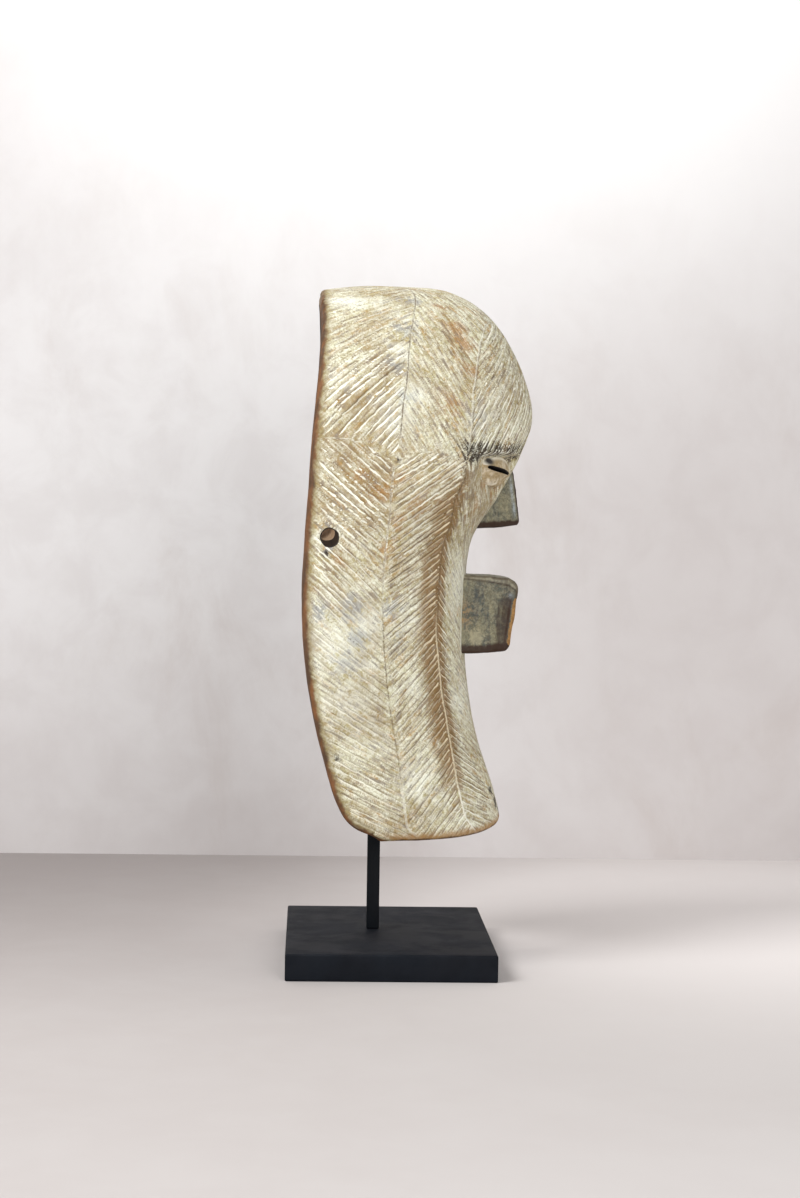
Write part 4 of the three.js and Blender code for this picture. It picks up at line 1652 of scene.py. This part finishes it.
def paintSlate(material, colours):
    job = paintJob(material, colours)
    cloud = job.clouds(120.0, 0.36, 0.66, 0.2)
    streaks = job.clouds(330.0, 0.4, 0.62, 0.9, Vector=stretched(job.place, (1, 1, 0.1)))
    fine, grit = job.clouds(560.0, 0.4, 0.62, 1.9), job.clouds(1050.0, 0.42, 0.62, 0.6, 2.0)
    job.coat(cloud, "dusty", under="body")
    job.coat(streaks * (job.mark("blueStreak") * 0.58 + 0.42), "blue")
    job.coat(fine * 0.4, "dust")
    job.coat(grit * 0.4, "brown")
    job.coat(job.worn("dustLow", (fine - 0.5) * 0.5, 0.2, 0.9) * 0.65, "dust")
    # the box mouth's upper face, seen along its edge, with a dark line below it and ochre by the cheek
    job.coat(job.mark("topBand") * fine.span(0.0, 1.0, 0.45, 0.8), "top")
    job.coat(job.mark("topLine") * 0.75, "edge")
    job.coat(job.mark("backOchre") * fine * 0.6, "bare")
    job.coat(job.use(dustFilm, Scale=300.0, Amount=0.35), "dust")
    job.coat(job.use(edgeWear, Ridge=job.mark("ridge"), Scale=300.0, Low=0.09, High=0.2) * 0.6, "brown")
    # dark brown at the foot of the mouth box and of the nose, where they meet the wall, is painted shade; a thin
    # dark line on the edges, bare wood at the mouth's front
    job.coat(job.worn("darkFront", (streaks - 0.5) * 0.5, 0.05, 0.9) * 0.75, "edge")
    job.coat(job.worn("darkFoot", (cloud - 0.5) * 0.35, 0.2, 0.85) * 0.92, "edge")
    bare = job.blend(fine * 0.5, "bare", "brown")
    job.coat(job.worn("frontEdge", (fine - 0.5) * 0.6, 0.4, 0.75) * 0.9, bare)
    # painted highlight on the nose's ridge and the mouth's upper front corner
    job.coat(job.mark("glow") * fine.span(0.0, 1.0, 0.35, 1.0) * 0.6, "glow")
    height = job.use(fineRelief, Grain=0.5, Grit=0.35) + streaks * 0.4
    job.finish(cloud.span(0.0, 1.0, 0.55, 0.75), height, 0.5, 0.22, 0.3)


# the darkest colour is the painted shade at the lid's outer corner
lidColours = {"body": "b9a47b", "pale": "f7f1de", "deep": "8a734c", "cornerShade": "35312d"}


def paintLid(material, colours):
    job = paintJob(material, colours)
    job.coat(job.clouds(190.0, 0.4, 0.65) * 0.5, "pale", under="body")
    job.coat(job.clouds(620.0, 0.4, 0.62, 0.4) * 0.5, "deep")
    job.coat(job.mark("lidRim") * 0.95, "pale")
    # painted shade at the lid's outer corner
    job.coat(job.mark("lidCornerShade") * 0.85, "cornerShade")
    job.finish(0.68, job.use(fineRelief, Grain=0.3, Grit=0.4), 0.5, 0.2)


woodFinishes = {
    # the cut surfaces in the slits, the mouth slot and the near hole: near black, their dark stain together with
    # painted shade
    "cut": {"light": "2a2019", "dark": "14100d", "grain": 160.0, "rough": 0.8},
    "bore": {"light": "bfa68a", "dark": "94795d", "grain": 160.0, "rough": 0.8},
    # the hollow: dark patina, darkened further as painted shade
    "hollow": {"light": "4d3a27", "dark": "2a1f16", "grain": 130.0, "rough": 0.75},
}


def paintWood(material, spec):
    job = paintJob(material, {"light": spec["light"], "dark": spec["dark"]})
    grain = noiseIn(stretched(job.place, (1, 1, 0.12), (0.3, 0.1, 0)), spec["grain"], 5.0, 0.62, 0.6)
    job.coat(grain.span(0.35, 0.65), "light", under="dark")
    job.coat(job.clouds(55.0, 0.35, 0.65, 0.4) * 0.35, "dark")
    job.finish(spec["rough"], grain, 0.5, 0.4)


blackFinishes = {
    "bar": {"body": "04070b", "worn": "0c1016", "rough": 0.5, "film": 0.04, "grit": 0.4},
    "plate": {"body": "060a12", "worn": "0e131a", "rough": 0.62, "film": 0.15, "grit": 0.8},
}


def paintBlack(material, spec):
    job = paintJob(material, {"body": spec["body"], "worn": spec["worn"], "dust": "42434a"})
    cloud = job.clouds(40.0, 0.35, 0.7)
    job.coat(cloud, "worn", under="body")
    job.coat(job.use(dustFilm, Scale=55.0, Amount=spec["film"]), "dust")
    job.coat(job.use(specks, Scale=160.0, Size=0.06, Share=0.12) * 0.5, "dust")
    rough = cloud.span(0.0, 1.0, spec["rough"], spec["rough"] + 0.12)
    job.finish(rough, job.use(fineRelief, Grain=0.0, Grit=spec["grit"]), 0.4, 0.12, 0.14)


def spotAt(u, v, middle, size):
    # soft oval, 1 at its middle
    return np.exp(-(((u - middle[0]) / size[0]) ** 2 + ((v - middle[1]) / size[1]) ** 2))


def featureMarks(made):
    # where the nose, the box mouth and the lids are worn, dusty or dark, and where painted highlights and painted
    # shade lie on them
    mesh = made.data
    x, y, z = meshPlaces(mesh).T
    wide = np.abs(x)
    mouth = (z > 150) & (z < 192) & (y < -30) & (wide < 23.5)
    nose = (z > 210) & (y < -36) & (wide < 18)
    # the mouth: how far behind its front edge, and how far over its lower and upper faces
    behind = y - np.interp(z, (151, 156, 178, 184, 187, 190), (-55.4, -57.2, -60, -60.9, -59.5, -54))
    sides = smoothStep(wide, 19.6, 20.8)
    strip = (1 - smoothStep(behind, 1.3, 2.2)) * sides * window(z, 154.5, 157, 178, 180)
    line = bell(behind, 3.0, 0.8) * sides * window(z, 154, 157, 177, 180)
    # the box's lowest strip, painted dark as shade where it meets the wall
    under = 1 - smoothStep(z - np.interp(y, (-55.4, -48, -28), (153.4, 152.2, 151.5)), 2.2, 6.2)
    front = window(behind, 1.6, 2.6, 4.0, 13.0) * sides * (1 - 0.7 * smoothStep(z, 176, 181))
    top = np.interp(y, (-60.9, -59.5, -56.2, -47, -28), (184, 186.9, 189, 189.7, 190))
    over = z - top + np.interp(y, (-58, -36), (3.7, 1.5))
    # the nose: how far behind its front ridge
    back = y - np.interp(z, (214, 216.2, 244), (-62.2, -62.7, -58.9))
    # the nose's lowest strip, painted dark as shade where it meets the wall
    noseFoot = 1 - smoothStep(z - np.interp(y, (-60.8, -38), (214.3, 212.7)), 1.4, 4.4)
    noseLine = 1 - smoothStep(back, 0.5, 1.2)
    # a painted highlight along the nose's front ridge
    shine = bell(back, 2.3, 0.8) * window(z, 217, 222, 234, 242)
    marks = {
        "frontEdge": strip * mouth,
        "darkFront": front * mouth,
        "topBand": smoothStep(over, -0.3, 0.4) * mouth,
        "topLine": bell(over, -0.3, 0.55) * sides * mouth,
        "backOchre": spotAt(y, z, (-34.5, 171), (3.5, 6)) * mouth,
        "darkFoot": np.maximum(np.maximum(under, 0.8 * line) * mouth, np.maximum(noseFoot, 0.8 * noseLine) * nose),
        # painted highlights on the nose's ridge and on the mouth's upper front corner
        "glow": np.maximum(shine * nose, spotAt(y, z, (-57.2, 180.2), (1.0, 1.1)) * sides * mouth),
        "dustLow": spotAt(y, z, (-40.5, 159.5), (5, 5)) * mouth,
        "blueStreak": spotAt(y, z, (-44.5, 173.5), (5.5, 7.5)) * mouth,
        "lidRim": np.zeros(len(x)),
        "lidCornerShade": np.zeros(len(x)),
    }
    near = np.abs(z - 240) < 14
    for side in (-1, 1):
        turned = eyeFrame(eyeShape, side).inverted()
        a, b, c = np.array([turned @ Vector(p * mm) for p in meshPlaces(mesh)[near]]).T / mm
        a = a * side
        arc, ring = np.hypot(a / 14.5, c / 5.8), np.hypot((a - 1) / 8, c / 7.8)
        edge = 1.4 * bell(arc, 0.98, 0.17) * (c > 0) + 0.8 * bell(ring, 0.93, 0.07) * (c < -5.5)
        # painted shade at the lid's outer corner, in the socket
        cornerShade = 1.3 * np.exp(-(((a - 11.9) / 2.9) ** 2 + ((c - 1.9) / 2.0) ** 2) ** 1.5) * (b < 0)
        for name, values in (("lidRim", edge), ("lidCornerShade", cornerShade)):
            marks[name][near] = np.maximum(marks[name][near], values)
    writeMarks(mesh, marks)


featureMarks(maskPiece)
paintMask(maskPaint, maskColours)
paintSlate(slatePaint, slateColours)
paintLid(lidPaint, lidColours)
for material, kind in ((cutWoodStainAndShade, "cut"), (boreWood, "bore"), (hollowPatinaAndShade, "hollow")):
    paintWood(material, woodFinishes[kind])
paintBlack(blackMetal, blackFinishes["bar"])
paintBlack(blackWood, blackFinishes["plate"])
print("finishes made")


# stage and light

stageSpec = {
    "wallAt": 0.352,
    "wallHeight": 4,
    "reach": 7.0,
    "rough": 0.8,
    # the wall's dark and glow tones carry painted light and a painted shadow as well as the plaster's own smears
    "wall": {"dark": "bdb5b3", "pale": "e5e4e4", "glow": "ffffff", "smear": "b7aba4"},
    # the floor's shade and light are a painted shadow and a painted pool of light; dark and pale make a painted
    # fall-off of light
    "floor": {"dark": "b9b1ae", "pale": "cbc7c5", "shade": "8f8886", "light": "fbf6f4"},
}
lightSpec = {
    "world": "f5f4f4",
    "worldStrength": 0.55,
    # place, aim, size, watts
    "keyLight": ((-0.75, 1.05, 1.35), (0.0, 0.0, 0.19), 0.8, 22),
    "fillLight": ((-1.3, -0.3, 0.45), (0.0, 0.0, 0.19), 0.6, 7),
}


def glowAt(place, middle, size):
    # soft round patch, 1 at the middle and 0 at the size
    squashed = vectorNode("DIVIDE", vectorNode("SUBTRACT", place, middle), size)
    length = addNode(place.tree, "ShaderNodeVectorMath", {0: squashed}, "Value", operation="LENGTH")
    return length.span(0.0, 1.0, 1.0, 0.0)


def seeThroughBehind(job):
    # the wall lets a view from behind it through
    tree = job.tree
    back = addNode(tree, "ShaderNodeNewGeometry", output="Backfacing")
    front, clear = nodeValue(tree, job.shader.outputs[0]), addNode(tree, "ShaderNodeBsdfTransparent")
    put(tree, job.result, addNode(tree, "ShaderNodeMixShader", {0: back, 1: front, 2: clear}))


def stagePlane(name, corners, colours):
    mesh = bpy.data.meshes.new(name)
    mesh.from_pydata(corners, [], [(0, 1, 2, 3)])
    made = addObject(name, mesh)
    material = bpy.data.materials.new(name)
    mesh.materials.append(material)
    job = paintJob(material, colours)
    cloud, smear = job.clouds(7.0, 0.3, 0.7), job.clouds(26.0, 0.35, 0.7, 0.6, 6.0)
    if "glow" in colours:
        plaster = job.clouds(11.0, 0.48, 0.72, 2.1, 8.0, Vector=stretched(job.place, (1, 1, 0.55)))
        # painted light: the wall paler round a patch at the mask's height, darker further out
        job.coat(glowAt(job.place, (0.352, 0.1, 0.26), (1.0, 0.9, 0.42)), "pale", under="dark")
        job.coat(cloud * 0.3, "pale")
        job.coat(smear * 0.22, "dark")
        job.coat(plaster * 0.3, "smear")
        # painted shadow of the mask on the wall, to its right and below
        job.coat(glowAt(job.place, (0.352, -0.2, 0.2), (1.0, 0.2, 0.3)) * 0.45, "dark")
        # painted pool of light high on the wall, above the mask
        job.coat(glowAt(job.place, (0.352, -0.06, 0.66), (1.0, 0.62, 0.5)).span(0.0, 0.75), "glow")
    else:
        # painted light: the floor paler towards the front and darker away from it
        job.coat(glowAt(job.place, (-0.45, -0.25, 0.0), (1.1, 0.95, 1.0)), "pale", under="dark")
        job.coat(cloud * 0.2, "dark")
        job.coat(smear * 0.25, "pale")
        # painted shadow on the floor, behind and to the left of the stand
        job.coat(glowAt(job.place, (0.3, 0.32, 0), (0.55, 0.6, 1)) * 0.85, "shade")
        # painted pool of light on the floor, to the right of the stand
        job.coat(glowAt(job.place, (0.12, -0.26, 0), (0.45, 0.4, 1)) * 0.95, "light")
    job.finish(stageSpec["rough"])
    if "glow" in colours:
        seeThroughBehind(job)


r, w, h = stageSpec["reach"], stageSpec["wallAt"], stageSpec["wallHeight"]
stagePlane("floor", [(-r, -r, 0), (r, -r, 0), (r, r, 0), (-r, r, 0)], stageSpec["floor"])
stagePlane("backWall", [(w, -r, 0), (w, -r, h), (w, r, h), (w, r, 0)], stageSpec["wall"])


def areaLight(name, spec):
    place, aim, size, watts = spec
    data = bpy.data.lights.new(name, "AREA")
    data.shape, data.size, data.energy = "DISK", size, watts
    made = addObject(name, data)
    made.location = place
    made.rotation_euler = (Vector(aim) - Vector(place)).to_track_quat("-Z", "Y").to_euler()


areaLight("keyLight", lightSpec["keyLight"])
areaLight("fillLight", lightSpec["fillLight"])
world = bpy.data.worlds.new("studio")
world.use_nodes = True
sky = world.node_tree.nodes["Background"].inputs
sky[0].default_value, sky[1].default_value = linear(lightSpec["world"]), lightSpec["worldStrength"]
bpy.context.scene.world = world
bpy.context.scene.view_settings.view_transform = "Standard"
print("stage and light set")


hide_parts("mask")
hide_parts("stand_post")
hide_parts("stand_base")
for piece, slotName in ((maskPiece, "painted_wood"), (postPiece, "black_metal"), (basePiece, "black_paint")):
    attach(piece, "root")
